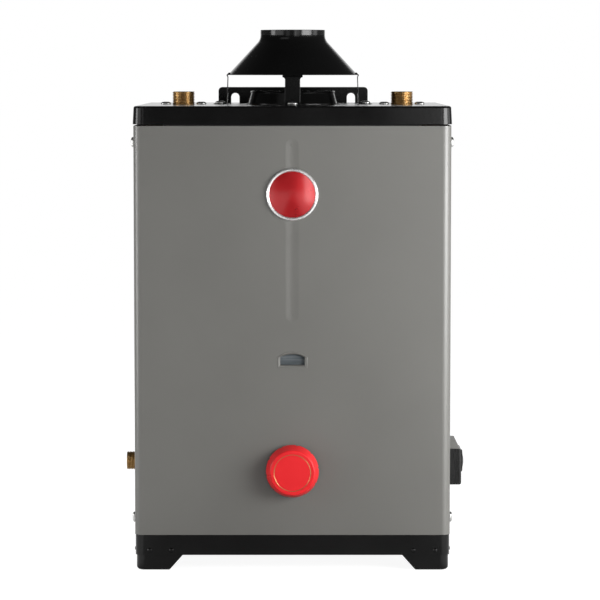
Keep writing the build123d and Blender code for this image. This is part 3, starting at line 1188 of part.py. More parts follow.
NODES = {
    "base_pan": base_pan,
    "foot_front_left": lambda: foot(-1, -1),
    "foot_front_right": lambda: foot(1, -1),
    "foot_rear_left": lambda: foot(-1, 1),
    "foot_rear_right": lambda: foot(1, 1),
    "foot_rivets": lambda: placed(rivet(BASE_SHEET + FOOT_SHEET), foot_rivet_spots()),
    "front_panel": front_panel,
    "back_panel": back_panel,
    "left_side_panel": left_side_panel,
    "right_side_panel": right_side_panel,
    "panel_screws": lambda: placed(pan_screw(), panel_screw_spots()),
    "top_cover": top_cover,
    "cover_screws": lambda: placed(pan_screw(), nipple_screw_spots() + leg_screw_spots()),
    "wall_bracket": wall_bracket,
    "bracket_rivets": lambda: placed(rivet(BRACKET_SHEET + PANEL_SHEET), bracket_rivet_spots()),
    "badge_bezel": badge_bezel,
    "badge_face": badge_face,
    "sight_glass": sight_glass,
    "sight_glass_gasket": sight_glass_gasket,
    "draft_hood": draft_hood,
    "hood_leg_front": lambda: hood_leg(-90),
    "hood_leg_right": lambda: hood_leg(0),
    "hood_leg_rear": lambda: hood_leg(90),
    "hood_leg_left": lambda: hood_leg(180),
    "flue_collar": flue_collar,
    "tank_shell": tank_shell,
    "tank_top_head": tank_top_head,
    "tank_bottom_head": tank_bottom_head,
    "flue_tube": flue_tube,
    "flue_baffle": flue_baffle,
    "cold_inlet_nipple": lambda: pipe_nipple(1),
    "hot_outlet_nipple": lambda: pipe_nipple(-1),
    "dip_tube": dip_tube,
    "anode_rod": anode_rod,
    "tank_insulation": tank_insulation,
    "gas_valve_body": gas_valve_body,
    "valve_rear_cover": valve_rear_cover,
    "valve_stem": valve_stem,
    "pilot_plunger": pilot_plunger,
    "plunger_spring": plunger_spring,
    "valve_cock": valve_cock,
    "control_knob": control_knob,
    "knob_cap": knob_cap,
    "valve_stand": valve_stand,
    "gas_inlet_fitting": gas_inlet_fitting,
    "manifold_tube": manifold_tube,
    "burner_orifice": burner_orifice,
    "main_burner": main_burner,
    "burner_cap": burner_cap,
    "burner_shelf": burner_shelf,
    "pilot_burner": pilot_burner,
    "pilot_tube": pilot_tube,
    "thermocouple": thermocouple,
    "thermostat_bulb": thermostat_bulb,
    "igniter_electrode": igniter_electrode,
    "igniter_lead": igniter_lead,
    "igniter_housing": igniter_housing,
    "igniter_button": igniter_button,
    "igniter_piezo": igniter_piezo,
    "igniter_drip_hood": igniter_drip_hood,
}

os.makedirs("parts", exist_ok=True)
for name, make in NODES.items():
    export_step(make(), os.path.join("parts", name + ".step"))
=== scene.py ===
import json
import math
import bmesh
import bpy
from mathutils import Matrix, Vector


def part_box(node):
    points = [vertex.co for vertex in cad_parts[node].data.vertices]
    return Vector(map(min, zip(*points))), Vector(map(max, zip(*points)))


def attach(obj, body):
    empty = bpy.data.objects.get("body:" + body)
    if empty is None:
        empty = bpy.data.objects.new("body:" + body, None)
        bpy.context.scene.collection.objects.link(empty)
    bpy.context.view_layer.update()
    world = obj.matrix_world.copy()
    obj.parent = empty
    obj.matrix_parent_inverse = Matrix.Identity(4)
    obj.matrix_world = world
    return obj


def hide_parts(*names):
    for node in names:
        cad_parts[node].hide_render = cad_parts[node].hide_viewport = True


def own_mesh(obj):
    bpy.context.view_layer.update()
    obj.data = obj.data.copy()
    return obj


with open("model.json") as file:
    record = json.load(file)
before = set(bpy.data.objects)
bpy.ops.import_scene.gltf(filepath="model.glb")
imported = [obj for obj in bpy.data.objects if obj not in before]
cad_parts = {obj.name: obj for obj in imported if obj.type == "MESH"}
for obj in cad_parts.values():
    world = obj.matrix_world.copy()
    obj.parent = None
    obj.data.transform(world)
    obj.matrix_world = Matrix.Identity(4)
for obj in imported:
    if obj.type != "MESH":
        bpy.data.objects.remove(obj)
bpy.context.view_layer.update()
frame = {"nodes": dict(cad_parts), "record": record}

nodes = frame["nodes"]
scene = bpy.context.scene
scene.view_settings.view_transform = "Standard"


# Material helpers

NOISE_LOW = 0.3                # most of a noise lies between these two values
NOISE_HIGH = 0.7
BEVEL_SAMPLES = 6
MIX_INPUTS = (0, 6, 7)         # factor and the two colours, among the mix node's inputs
MIX_RESULT = 2


def feed(tree, socket, value):
    """Link another node's output to a socket, or else set the socket's own value."""
    if isinstance(value, bpy.types.NodeSocket):
        tree.links.new(value, socket)
    else:
        socket.default_value = value


def grey(level):
    return (level, level, level)


class Paint:
    """One procedural material. Texture coordinates are the part's own, in metres."""

    def __init__(self, name):
        self.material = bpy.data.materials.new(name)
        self.material.use_nodes = True
        self.tree = self.material.node_tree
        self.shader = self.tree.nodes["Principled BSDF"]
        self.coordinates = self.tree.nodes.new("ShaderNodeTexCoord").outputs["Object"]

    def node(self, kind, **inputs):
        made = self.tree.nodes.new(kind)
        for key, value in inputs.items():
            feed(self.tree, made.inputs[key.replace("_", " ")], value)
        return made

    def set(self, **inputs):
        for key, value in inputs.items():
            feed(self.tree, self.shader.inputs[key.replace("_", " ")], value)

    def stretched(self, x, y, z):
        """Coordinates scaled along each axis."""
        made = self.node("ShaderNodeMapping", Vector=self.coordinates, Scale=(x, y, z))
        return made.outputs["Vector"]

    def noise(self, scale, detail=3.0, roughness=0.5, coordinates=None):
        made = self.node("ShaderNodeTexNoise", Vector=coordinates or self.coordinates, Scale=scale,
                         Detail=detail, Roughness=roughness)
        return made.outputs["Fac"]

    def spread(self, value, low, high, start=NOISE_LOW, end=NOISE_HIGH):
        """A value between start and end mapped to low to high."""
        made = self.node("ShaderNodeMapRange", Value=value, From_Min=start, From_Max=end,
                         To_Min=low, To_Max=high)
        return made.outputs["Result"]

    def colours(self, value, first, second, start=NOISE_LOW, end=NOISE_HIGH):
        """Colour ramp over a value, from one colour at start to another at end."""
        made = self.node("ShaderNodeValToRGB", Fac=value)
        for element, place, colour in zip(made.color_ramp.elements, (start, end), (first, second)):
            element.position = place
            element.color = (*colour, 1.0)
        return made.outputs["Color"]

    def mixed(self, factor, first, second):
        """Mix of two colours, each of them a socket or three levels."""
        made = self.tree.nodes.new("ShaderNodeMix")
        made.data_type = "RGBA"
        for place, value in zip(MIX_INPUTS, (factor, first, second)):
            if isinstance(value, tuple):
                value = (*value, 1.0)
            feed(self.tree, made.inputs[place], value)
        return made.outputs[MIX_RESULT]

    def relief(self, height, depth, edge=0.0):
        """Bump of a depth in metres, over edges rounded by a radius in metres."""
        bump = self.node("ShaderNodeBump", Height=height, Distance=depth, Strength=1.0)
        if edge:
            bevel = self.node("ShaderNodeBevel", Radius=edge)
            bevel.samples = BEVEL_SAMPLES
            self.tree.links.new(bevel.outputs["Normal"], bump.inputs["Normal"])
        self.tree.links.new(bump.outputs["Normal"], self.shader.inputs["Normal"])
        return self


# Materials

COVER_GAP = 0.0017             # between the panels' top edges and the cover's skirt
TONGUE_SHADE_START = 0.0001          # above the panels' top edges, where painted shade turns the paint black
TONGUE_SHADE_END = 0.0002
FINE_EDGE = 0.0004             # rounding of edges on metal and plastic
GRAIN_DEPTH = 0.00001
METAL_GLOSS = 0.75             # least and most of the roughness, along the grain
METAL_DULL = 1.3
PLASTIC_GLOSS = 0.9            # the same across moulded pieces
PLASTIC_DULL = 1.12


def cabinet_paint():
    """Grey paint with a faint fleck. The tongues that reach up into the cover carry painted shade: near
    black, with little shine, so the gap under the cover's skirt reads dark.
    """
    paint = Paint("cabinet paint")
    height = paint.node("ShaderNodeSeparateXYZ", Vector=paint.coordinates).outputs["Z"]
    panel_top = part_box("top_cover")[0].z - COVER_GAP
    tongue_shade = (panel_top + TONGUE_SHADE_START, panel_top + TONGUE_SHADE_END)
    cloud = paint.noise(scale=9.0, detail=4.0)
    fleck = paint.spread(paint.noise(scale=1600.0, detail=2.0), 0.0, 0.22, start=0.62, end=0.75)
    tone = paint.colours(cloud, (0.130, 0.128, 0.118), (0.140, 0.138, 0.127))
    flecked = paint.mixed(fleck, tone, (0.23, 0.23, 0.22))
    # Painted shade: above the panels' top edges the colour turns near black and the shine drops,
    # standing in for the shadow in the gap under the cover.
    paint.set(Base_Color=paint.mixed(paint.spread(height, 0.0, 1.0, *tongue_shade), flecked, grey(0.004)),
              Roughness=paint.spread(cloud, 0.33, 0.40), Metallic=0.0,
              Specular_IOR_Level=paint.spread(height, 0.70, 0.15, *tongue_shade))
    return paint.relief(paint.noise(scale=700.0, detail=2.0), depth=0.00002, edge=0.0006).material


def black_paint():
    """Gloss black that is a little uneven."""
    paint = Paint("black paint")
    cloud = paint.noise(scale=14.0, detail=4.0)
    paint.set(Base_Color=paint.colours(cloud, grey(0.0032), grey(0.005)),
              Roughness=paint.spread(cloud, 0.136, 0.192), Specular_IOR_Level=0.30)
    return paint.relief(paint.noise(scale=450.0, detail=2.0), depth=0.00003, edge=0.0007).material


def metal(name, dark, light, roughness, grain, metallic=1.0):
    """Bare or satin metal with a fine grain, whose scale is given along each axis."""
    paint = Paint(name)
    lines = paint.noise(scale=1.0, roughness=0.6, coordinates=paint.stretched(*grain))
    cloud = paint.noise(scale=40.0, detail=4.0)
    paint.set(Base_Color=paint.mixed(paint.spread(cloud, 0.0, 1.0), dark, light), Metallic=metallic,
              Roughness=paint.spread(lines, roughness * METAL_GLOSS, roughness * METAL_DULL))
    return paint.relief(lines, GRAIN_DEPTH, FINE_EDGE).material


def plastic(name, dark, light, roughness, texture, depth, specular=0.5):
    """Plastic, rubber or ceramic with a fine surface texture."""
    paint = Paint(name)
    cloud = paint.noise(scale=25.0)
    paint.set(Base_Color=paint.mixed(paint.spread(cloud, 0.0, 1.0), dark, light),
              Roughness=paint.spread(cloud, roughness * PLASTIC_GLOSS, roughness * PLASTIC_DULL),
              Specular_IOR_Level=specular)
    return paint.relief(paint.noise(scale=texture, detail=2.0), depth, FINE_EDGE).material


def moulded_plastic():
    """Black plastic with faint flow streaks up its sides."""
    paint = Paint("black plastic")
    upright = paint.stretched(330.0, 330.0, 25.0)
    streaks = paint.noise(scale=1.0, detail=4.0, roughness=0.6, coordinates=upright)
    paint.set(Base_Color=paint.colours(streaks, grey(0.004), grey(0.012), start=0.35, end=0.65),
              Roughness=paint.spread(streaks, 0.18, 0.34), Specular_IOR_Level=0.28)
    return paint.relief(streaks, depth=0.00012, edge=0.0005).material


def red_enamel():
    """Clear red enamel over a satin foil."""
    paint = Paint("red enamel")
    cloud = paint.noise(scale=60.0)
    tone = paint.colours(cloud, (0.47, 0.008, 0.012), (0.50, 0.010, 0.014))
    paint.set(Base_Color=tone, Metallic=0.75, Roughness=paint.spread(cloud, 0.27, 0.31),
              Coat_Weight=1.0, Coat_Roughness=0.12)
    return paint.material


def window_glass():
    """Dark glass with level bands of painted reflection in its colour."""
    paint = Paint("sight glass")
    bands = paint.noise(scale=1.0, coordinates=paint.stretched(40.0, 40.0, 600.0))
    # Painted reflection: the lighter level bands in the glass colour stand in for streaky reflections.
    tone = paint.colours(bands, (0.105, 0.122, 0.134), (0.200, 0.222, 0.236), start=0.35, end=0.65)
    paint.set(Base_Color=tone, Roughness=paint.spread(bands, 0.05, 0.15),
              Transmission_Weight=0.35, IOR=1.48)
    return paint.material


def glass_wool():
    paint = Paint("glass wool")
    strands = paint.noise(scale=420.0, detail=6.0, roughness=0.7)
    paint.set(Base_Color=paint.colours(strands, (0.55, 0.42, 0.12), (0.80, 0.68, 0.32)),
              Roughness=paint.spread(strands, 0.85, 1.0), Sheen_Weight=0.3)
    return paint.relief(strands, depth=0.0015).material


LOOKS = {
    "cabinet_paint": cabinet_paint(),
    "black_paint": black_paint(),
    "screw_steel": metal("plated screws", (0.50, 0.50, 0.49), (0.62, 0.62, 0.61),
                         roughness=0.28, grain=(900.0, 900.0, 900.0)),
    "chrome_trim": metal("satin chrome", grey(0.78), grey(0.88),
                         roughness=0.30, grain=(300.0, 300.0, 300.0), metallic=0.75),
    "red_enamel": red_enamel(),
    "window_glass": window_glass(),
    "gasket": plastic("rubber", grey(0.02), grey(0.03),
                      roughness=0.8, texture=900.0, depth=0.00005, specular=0.3),
    "tank_steel": metal("mill steel", (0.30, 0.30, 0.30), (0.42, 0.41, 0.40),
                        roughness=0.38, grain=(60.0, 60.0, 900.0)),
    "brass": metal("brass", (0.42, 0.26, 0.10), (0.54, 0.35, 0.15),
                   roughness=0.34, grain=(60.0, 60.0, 60.0), metallic=0.95),
    "tube_aluminium": metal("aluminium", grey(0.62), grey(0.72),
                            roughness=0.34, grain=(500.0, 500.0, 500.0)),
    "dip_tube_plastic": plastic("dip tube plastic", (0.62, 0.62, 0.58), (0.70, 0.70, 0.66),
                                roughness=0.5, texture=300.0, depth=0.00002),
    "insulation": glass_wool(),
    "knob_red": plastic("red plastic", (0.73, 0.014, 0.019), (0.78, 0.018, 0.023),
                        roughness=0.38, texture=1500.0, depth=0.00002, specular=0.3),
    "igniter_plastic": moulded_plastic(),
    "ceramic": plastic("ceramic", (0.74, 0.72, 0.66), (0.80, 0.78, 0.72),
                       roughness=0.2, texture=300.0, depth=0.00001),
}
for part in frame["record"]["subparts"]:
    for slot in nodes[part["node"]].material_slots:
        slot.material = LOOKS[part["material_slot"]]


# Mesh helpers

MM = 0.001
SHARP = math.radians(35.0)
FULL_TURN = 2.0 * math.pi
PIPE_STEPS = 96                # points around each kind of round piece
SCREW_STEPS = 48
BADGE_STEPS = 160
RING_STEPS = 128
FRONTWARDS = (0.0, -1.0, 0.0)


def finished(shape, name):
    """Mesh of a finished bmesh, smooth except at sharp edges."""
    bmesh.ops.recalc_face_normals(shape, faces=shape.faces)
    mesh = bpy.data.meshes.new(name)
    shape.to_mesh(mesh)
    shape.free()
    mesh.shade_smooth()
    mesh.set_sharp_from_angle(angle=SHARP)
    return mesh


def turned(rows, steps, closed=False):
    """Shape turned about Z from (radius, height) rows in millimetres. A radius may be given by angle."""
    shape = bmesh.new()
    rings = []
    for radius, height in rows:
        angles = [FULL_TURN * step / steps for step in range(steps if radius else 1)]
        reach = [radius(angle) if callable(radius) else radius for angle in angles]
        rings.append([shape.verts.new((r * math.cos(a) * MM, r * math.sin(a) * MM, height * MM))
                      for r, a in zip(reach, angles)])
    pairs = list(zip(rings, rings[1:]))
    if closed:
        pairs.append((rings[-1], rings[0]))
    for lower, upper in pairs:
        for step in range(steps):
            after = (step + 1) % steps
            corners = [lower[step % len(lower)], lower[after % len(lower)],
                       upper[after % len(upper)], upper[step % len(upper)]]
            shape.faces.new(list(dict.fromkeys(corners)))
    return shape


def join_rings(shape, first, second):
    """Faces between two rings of as many points."""
    for step in range(len(first)):
        after = (step + 1) % len(first)
        shape.faces.new([first[step], first[after], second[after], second[step]])


def arc(centre, size, start, end, steps):
    """Points (radius, height) along part of an ellipse, angles in degrees."""
    angles = [math.radians(start + (end - start) * step / steps) for step in range(steps + 1)]
    return [(centre[0] + size[0] * math.cos(a), centre[1] + size[1] * math.sin(a)) for a in angles]


def axis_at(point, direction):
    """Placement that carries Z to a direction at a point."""
    return Matrix.Translation(point) @ Vector(direction).to_track_quat("Z", "Y").to_matrix().to_4x4()


def add_piece(name, mesh, body, slot, *replaced):
    made = bpy.data.objects.new(name, mesh)
    scene.collection.objects.link(made)
    mesh.materials.append(LOOKS[slot])
    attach(made, body)
    if replaced:
        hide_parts(*replaced)
    return made


def centre_of(node):
    low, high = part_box(node)
    return (low + high) / 2.0


# Threaded pipe ends

THREAD_PITCH = 1.814
THREAD_DEPTH = 1.2
THREAD_ROWS = 14               # rows of points in one turn
CREST_SHARE = 0.35             # of half a pitch, level at the crest
FLANK_SHARE = 0.55             # of half a pitch, from crest to root
CHAMFER_SHARE = 0.25           # of a pitch, taken off the crest at the mouth
PLAIN_STEP = 0.5               # from the crest down to the plain pipe
MOUTH_CHAMFER = 0.6
WATER_BORE = 10.45
WATER_PLAIN_END = 16.5         # below the mouth
WATER_THREAD_FOOT = 15.5
GAS_CREST = 10.67
GAS_BORE = 5.0
GAS_REACH = 11.8               # from the flange's outer face to the mouth
GAS_TAIL_RADIUS = 7.0
GAS_TAIL_END = 15.0            # inwards from the flange's outer face
GAS_CONE_END = 10.0
GAS_NECK = 1.2                 # outwards from the flange's outer face
GAS_THREAD_FOOT = 1.6
FLANGE_THICKNESS = 5.0
FLANGE_CHAMFER = 0.6


def thread(crest, foot, top):
    """Rows of a right-hand pipe thread that runs out at its foot and is chamfered at its top."""
    def radius_at(height):
        room = min(crest, crest - CHAMFER_SHARE * THREAD_PITCH + (top - height))
        depth = THREAD_DEPTH * min(1.0, (height - foot) / THREAD_PITCH)

        def radius(angle):
            wave = abs(2.0 * ((height / THREAD_PITCH - angle / FULL_TURN) % 1.0) - 1.0)
            return min(crest - depth * min(1.0, max(0.0, (wave - CREST_SHARE) / FLANK_SHARE)), room)
        return radius

    count = round((top - foot) / THREAD_PITCH * THREAD_ROWS)
    heights = [foot + (top - foot) * row / count for row in range(count + 1)]
    return [(radius_at(height), height) for height in heights]


def mouth(bore, length):
    """Rows of the chamfered end of a bore."""
    return [(bore + MOUTH_CHAMFER, length), (bore, length - MOUTH_CHAMFER)]


def water_nipple(name, node):
    low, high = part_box(node)
    crest = (high.x - low.x) / 2.0 / MM
    length = (high.z - low.z) / MM
    plain = crest - PLAIN_STEP
    rows = [(WATER_BORE, 0.0), (plain, 0.0), (plain, length - WATER_PLAIN_END)]
    rows += thread(crest, length - WATER_THREAD_FOOT, length) + mouth(WATER_BORE, length)
    shape = turned(rows, PIPE_STEPS, closed=True)
    shape.transform(Matrix.Translation(((low.x + high.x) / 2.0, (low.y + high.y) / 2.0, low.z)))
    add_piece(name, finished(shape, name), "cabinet", "brass", node)


def gas_stub(name, node):
    low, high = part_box(node)
    length = (high.x - low.x) / MM
    flange = (high.z - low.z) / 2.0 / MM
    plain = GAS_CREST - PLAIN_STEP
    face = length - GAS_REACH
    back = face - FLANGE_THICKNESS
    rows = [(GAS_BORE, 0.0), (GAS_TAIL_RADIUS, 0.0), (GAS_TAIL_RADIUS, face - GAS_TAIL_END),
            (plain, face - GAS_CONE_END), (plain, back),
            (flange - FLANGE_CHAMFER, back), (flange, back + FLANGE_CHAMFER),
            (flange, face - FLANGE_CHAMFER), (flange - FLANGE_CHAMFER, face),
            (plain, face), (plain, face + GAS_NECK)]
    rows += thread(GAS_CREST, face + GAS_THREAD_FOOT, length) + mouth(GAS_BORE, length)
    middle = (low + high) / 2.0
    shape = turned(rows, PIPE_STEPS, closed=True)
    shape.transform(axis_at((high.x, middle.y, middle.z), (-1.0, 0.0, 0.0)))
    add_piece(name, finished(shape, name), "cabinet", "brass", node)


water_nipple("cold_inlet_thread", "cold_inlet_nipple")
water_nipple("hot_outlet_thread", "hot_outlet_nipple")
gas_stub("gas_inlet_thread", "gas_inlet_fitting")


# Screws

HEAD_RADIUS = 4.2
HEAD_HEIGHT = 3.2
HEAD_EDGE = 0.3                # rounding below the head
HEAD_RIM = 1.0                 # height where the dome begins
DOME_END = 75.0
DOME_STEPS = 9
SHANK_RADIUS = 1.95
SHANK_LENGTH = 7.0
TIP_RADIUS = 0.975
TIP_ROUNDING = 0.6
TIP_LENGTH = 2.0
RECESS_TOP = (2.5, 0.62, 0.2)      # arm, half width, and height from the head's top
RECESS_FOOT = (1.0, 0.42, -1.9)
RECESS_ARMS = 4
SCREW_TURN = 0.7               # each screw stopped at another angle


def recess():
    """Cross-shaped cutter, wide at the top and narrow below."""
    shape = bmesh.new()
    rings = []
    for arm, half, rise in (RECESS_TOP, RECESS_FOOT):
        corners = []
        for turn in range(RECESS_ARMS):
            a = turn * FULL_TURN / RECESS_ARMS
            for x, y in ((half, -half), (arm, -half), (arm, half)):
                corners.append((x * math.cos(a) - y * math.sin(a), x * math.sin(a) + y * math.cos(a)))
        rings.append([shape.verts.new((x * MM, y * MM, (HEAD_HEIGHT + rise) * MM)) for x, y in corners])
    upper, lower = rings
    shape.faces.new(upper)
    shape.faces.new(lower[::-1])
    join_rings(shape, lower, upper)
    return shape


def pan_screw():
    """Mesh of one cross-recessed pan-head screw with its head above Z = 0."""
    rows = [(0.0, -SHANK_LENGTH), (TIP_RADIUS, -SHANK_LENGTH + TIP_ROUNDING),
            (SHANK_RADIUS, -SHANK_LENGTH + TIP_LENGTH), (SHANK_RADIUS, 0.0),
            (HEAD_RADIUS - HEAD_EDGE, 0.0), (HEAD_RADIUS, HEAD_EDGE)]
    rows += arc((0.0, HEAD_RIM), (HEAD_RADIUS, HEAD_HEIGHT - HEAD_RIM), 0.0, DOME_END, DOME_STEPS)
    rows.append((0.0, HEAD_HEIGHT))
    blank = bpy.data.objects.new("blank", finished(turned(rows, SCREW_STEPS), "blank"))
    cutter = bpy.data.objects.new("cutter", finished(recess(), "cutter"))
    for made in (blank, cutter):
        scene.collection.objects.link(made)
    cut = blank.modifiers.new("recess", "BOOLEAN")
    cut.object = cutter
    cut.operation = "DIFFERENCE"
    cut.solver = "EXACT"
    mesh = bpy.data.meshes.new_from_object(blank.evaluated_get(bpy.context.evaluated_depsgraph_get()))
    for made in (blank, cutter):
        bpy.data.objects.remove(made)
    return mesh


def islands(node):
    """Lowest and highest corner of each separate solid in a node."""
    shape = bmesh.new()
    shape.from_mesh(nodes[node].data)
    left = set(shape.verts)
    boxes = []
    while left:
        group = [left.pop()]
        for vert in group:
            for edge in vert.link_edges:
                other = edge.other_vert(vert)
                if other in left:
                    left.remove(other)
                    group.append(other)
        corners = list(zip(*(vert.co for vert in group)))
        boxes.append((Vector(map(min, corners)), Vector(map(max, corners))))
    shape.free()
    return sorted(boxes, key=lambda box: tuple(box[0]))


def screws(name, node, sideways):
    """Screws where the node has them, with heads outwards: to the sides or upwards."""
    one = pan_screw()
    shape = bmesh.new()
    for turn, (low, high) in enumerate(islands(node)):
        middle = (low + high) / 2.0
        if sideways:
            side = math.copysign(1.0, middle.x)
            seat = max(abs(low.x), abs(high.x)) - HEAD_HEIGHT * MM
            place = axis_at((side * seat, middle.y, middle.z), (side, 0.0, 0.0))
        else:
            place = axis_at((middle.x, middle.y, high.z - HEAD_HEIGHT * MM), (0.0, 0.0, 1.0))
        copy = one.copy()
        copy.transform(place @ Matrix.Rotation(SCREW_TURN * turn, 4, "Z"))
        shape.from_mesh(copy)
        bpy.data.meshes.remove(copy)
    add_piece(name, finished(shape, name), "cabinet", "screw_steel", node)


screws("side_screws", "panel_screws", sideways=True)
screws("top_screws", "cover_screws", sideways=False)


# Badge

BEZEL_WIDTH = 3.4
BEZEL_BACK = 0.8
BEZEL_SHOULDER = 0.4           # share of the bezel's height below its crown
BEZEL_CROWN_STEPS = 20
FACE_EDGE = 1.2                # thickness of the face at its rim
FACE_STEPS = 24
FACE_LAST = 89.0               # last ring of the dome before its middle


def badge_ring():
    """Half-round bright rim on a thin back plate."""
    low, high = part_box("badge_bezel")
    outside = (high.x - low.x) / 2.0 / MM
    height = (high.y - low.y) / MM
    shoulder = BEZEL_SHOULDER * height
    rows = [(0.0, 0.0), (outside, 0.0)]
    rows += arc((outside - BEZEL_WIDTH / 2.0, shoulder), (BEZEL_WIDTH / 2.0, height - shoulder),
                0.0, 180.0, BEZEL_CROWN_STEPS)
    rows += [(outside - BEZEL_WIDTH, BEZEL_BACK), (0.0, BEZEL_BACK)]
    middle = centre_of("badge_bezel")
    ring = turned(rows, BADGE_STEPS)
    ring.transform(axis_at((middle.x, high.y, middle.z), FRONTWARDS))
    add_piece("badge_ring", finished(ring, "badge_ring"), "cabinet", "chrome_trim", "badge_bezel")


def badge_dome():
    """Shallow domed face inside the rim."""
    low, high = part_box("badge_face")
    reach = (high.x - low.x) / 2.0 / MM
    top = (high.y - low.y) / MM
    ball = (reach ** 2 + (top - FACE_EDGE) ** 2) / (2.0 * (top - FACE_EDGE))
    spread = math.degrees(math.asin(reach / ball))
    rows = [(0.0, 0.0), (reach, 0.0)]
    rows += arc((0.0, top - ball), (ball, ball), 90.0 - spread, FACE_LAST, FACE_STEPS)
    rows.append((0.0, top))
    middle = centre_of("badge_bezel")
    face = turned(rows, BADGE_STEPS)
    face.transform(axis_at((middle.x, high.y, middle.z), FRONTWARDS))
    add_piece("badge_dome", finished(face, "badge_dome"), "cabinet", "red_enamel", "badge_face")


badge_ring()
badge_dome()


# Window rim

WINDOW_LAP = 6.0               # of the glass behind the panel, on each side
WINDOW_SIDE = 9.0              # height of the straight sides
WINDOW_ARCH = 3.2              # rise of the arch above them
ARCH_STEPS = 24
RIM_WIDTH = 3.6
RIM_CROWN = 2.6                # from the opening to the highest line of the rim
RIM_RISE = 0.45
RIM_DEPTH = 2.4
RIM_ROOT = 0.1
OUTER_ROLL_STEPS = 5
INNER_ROLL_STEPS = 10


def window_outline(half, grow):
    """Points (x, z) of the grown sight window, from one lower corner over the arch to the other."""
    reach = half + grow
    rise = WINDOW_ARCH + grow
    ball = (reach ** 2 + rise ** 2) / (2.0 * rise)
    points = [(reach, -grow)]
    for step in range(ARCH_STEPS + 1):
        x = reach * (1.0 - 2.0 * step / ARCH_STEPS)
        points.append((x, WINDOW_SIDE + rise - ball + math.sqrt(ball ** 2 - x ** 2)))
    return points + [(-reach, -grow)]


def window_rim():
    """Rolled edge around the sight window, from the face of the panel into the opening."""
    low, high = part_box("sight_glass")
    half = (high.x - low.x) / 2.0 / MM - WINDOW_LAP
    origin = Vector(((low.x + high.x) / 2.0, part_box("front_panel")[0].y, low.z + WINDOW_LAP * MM))
    outer = arc((RIM_CROWN, 0.0), (RIM_WIDTH - RIM_CROWN, RIM_RISE), 0.0, 90.0, OUTER_ROLL_STEPS)
    inner = arc((RIM_CROWN, -RIM_DEPTH), (RIM_CROWN, RIM_DEPTH + RIM_RISE),
                90.0, 180.0, INNER_ROLL_STEPS)
    profile = outer + inner[1:] + [(RIM_CROWN, -RIM_ROOT), (RIM_WIDTH, -RIM_ROOT)]
    shape = bmesh.new()
    rings = []
    for grow, rise in profile:
        points = [Vector((x, -rise, z)) for x, z in window_outline(half, grow)]
        rings.append([shape.verts.new(origin + point * MM) for point in points])
    for first, second in zip(rings, rings[1:] + rings[:1]):
        join_rings(shape, first, second)
    add_piece("window_rim", finished(shape, "window_rim"), "cabinet", "cabinet_paint")


window_rim()


# Knob details

KNOB_FRONT_RADIUS = 26.0
KNOB_BACK_RADIUS = 30.6
KNOB_DEPTH = 16.0
CAP_SUNK = 0.2                 # from the knob's face back to the cap's face
TRIM_WIRE = 0.5
TRIM_INSET = 0.15              # from the cap's edge
TRIM_SUNK = 0.35               # behind the cap's face
TRIM_STEPS = 12
POINTER_ANGLE = 190.0
# Pointer: radius and depth over the face, then depths down the side. Section: shift and rise.
POINTER_FACE = ((22.4, 0.0), (23.4, 0.0), (24.4, 0.05), (25.3, 0.45), (25.9, 1.1))
POINTER_SIDE = (2.2, 5.0, 8.0, 11.0, 13.0)
POINTER_SECTION = ((-1.5, -0.4), (-1.2, 0.4), (-0.7, 0.85), (0.0, 1.0),
                   (0.7, 0.85), (1.2, 0.4), (1.5, -0.4))
POINTER_END = 0.35             # share of its height at either end


def knob_ring():
    """Fine bright line around the cap."""
    low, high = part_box("knob_cap")
    radius = (high.x - low.x) / 2.0 / MM - TRIM_INSET
    rows = arc((radius, 0.0), (TRIM_WIRE, TRIM_WIRE), 0.0, 360.0, TRIM_STEPS)[:-1]
    ring = turned(rows, RING_STEPS, closed=True)
    middle = centre_of("knob_cap")
    ring.transform(axis_at((middle.x, low.y + TRIM_SUNK * MM, middle.z), FRONTWARDS))
    add_piece("knob_trim_ring", finished(ring, "knob_trim_ring"), "knob", "brass")


def knob_pointer():
    """Low rounded ridge from the cap over the edge of the knob and down its side."""
    middle = centre_of("knob_cap")
    origin = Vector((middle.x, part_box("knob_cap")[0].y - CAP_SUNK * MM, middle.z))
    slope = (KNOB_BACK_RADIUS - KNOB_FRONT_RADIUS) / KNOB_DEPTH
    path = [Vector(point) for point in POINTER_FACE]
    path += [Vector((KNOB_FRONT_RADIUS + slope * depth, depth)) for depth in POINTER_SIDE]
    last = len(path) - 1
    angle = math.radians(POINTER_ANGLE)
    outward = Vector((math.cos(angle), 0.0, math.sin(angle)))
    around = Vector((-math.sin(angle), 0.0, math.cos(angle)))
    shape = bmesh.new()
    rings = []
    for index, point in enumerate(path):
        along = (path[min(index + 1, last)] - path[max(index - 1, 0)]).normalized()
        share = POINTER_END if index in (0, last) else 1.0
        ring = []
        for shift, rise in POINTER_SECTION:
            rise = rise * share if rise > 0 else rise
            radius = point.x + along.y * rise
            depth = point.y - along.x * rise
            place = outward * radius + around * shift + Vector((0.0, depth, 0.0))
            ring.append(shape.verts.new(place * MM + origin))
        rings.append(ring)
    for first, second in zip(rings, rings[1:]):
        join_rings(shape, first, second)
    shape.faces.new(rings[0][::-1])
    shape.faces.new(rings[-1])
    add_piece("knob_pointer", finished(shape, "knob_pointer"), "knob", "knob_red")


knob_ring()
knob_pointer()


# Valve spring


def valve_spring():
    """Return spring behind the plunger, a fixed copy of the part's mesh. The real spring shortens
    towards its rear end as the knob is pushed.
    """
    mesh = nodes["plunger_spring"].data.copy()
    mesh.materials.clear()
    spring = add_piece("valve_spring", mesh, "cabinet", "tank_steel", "plunger_spring")
    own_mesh(spring)


valve_spring()


# Studio

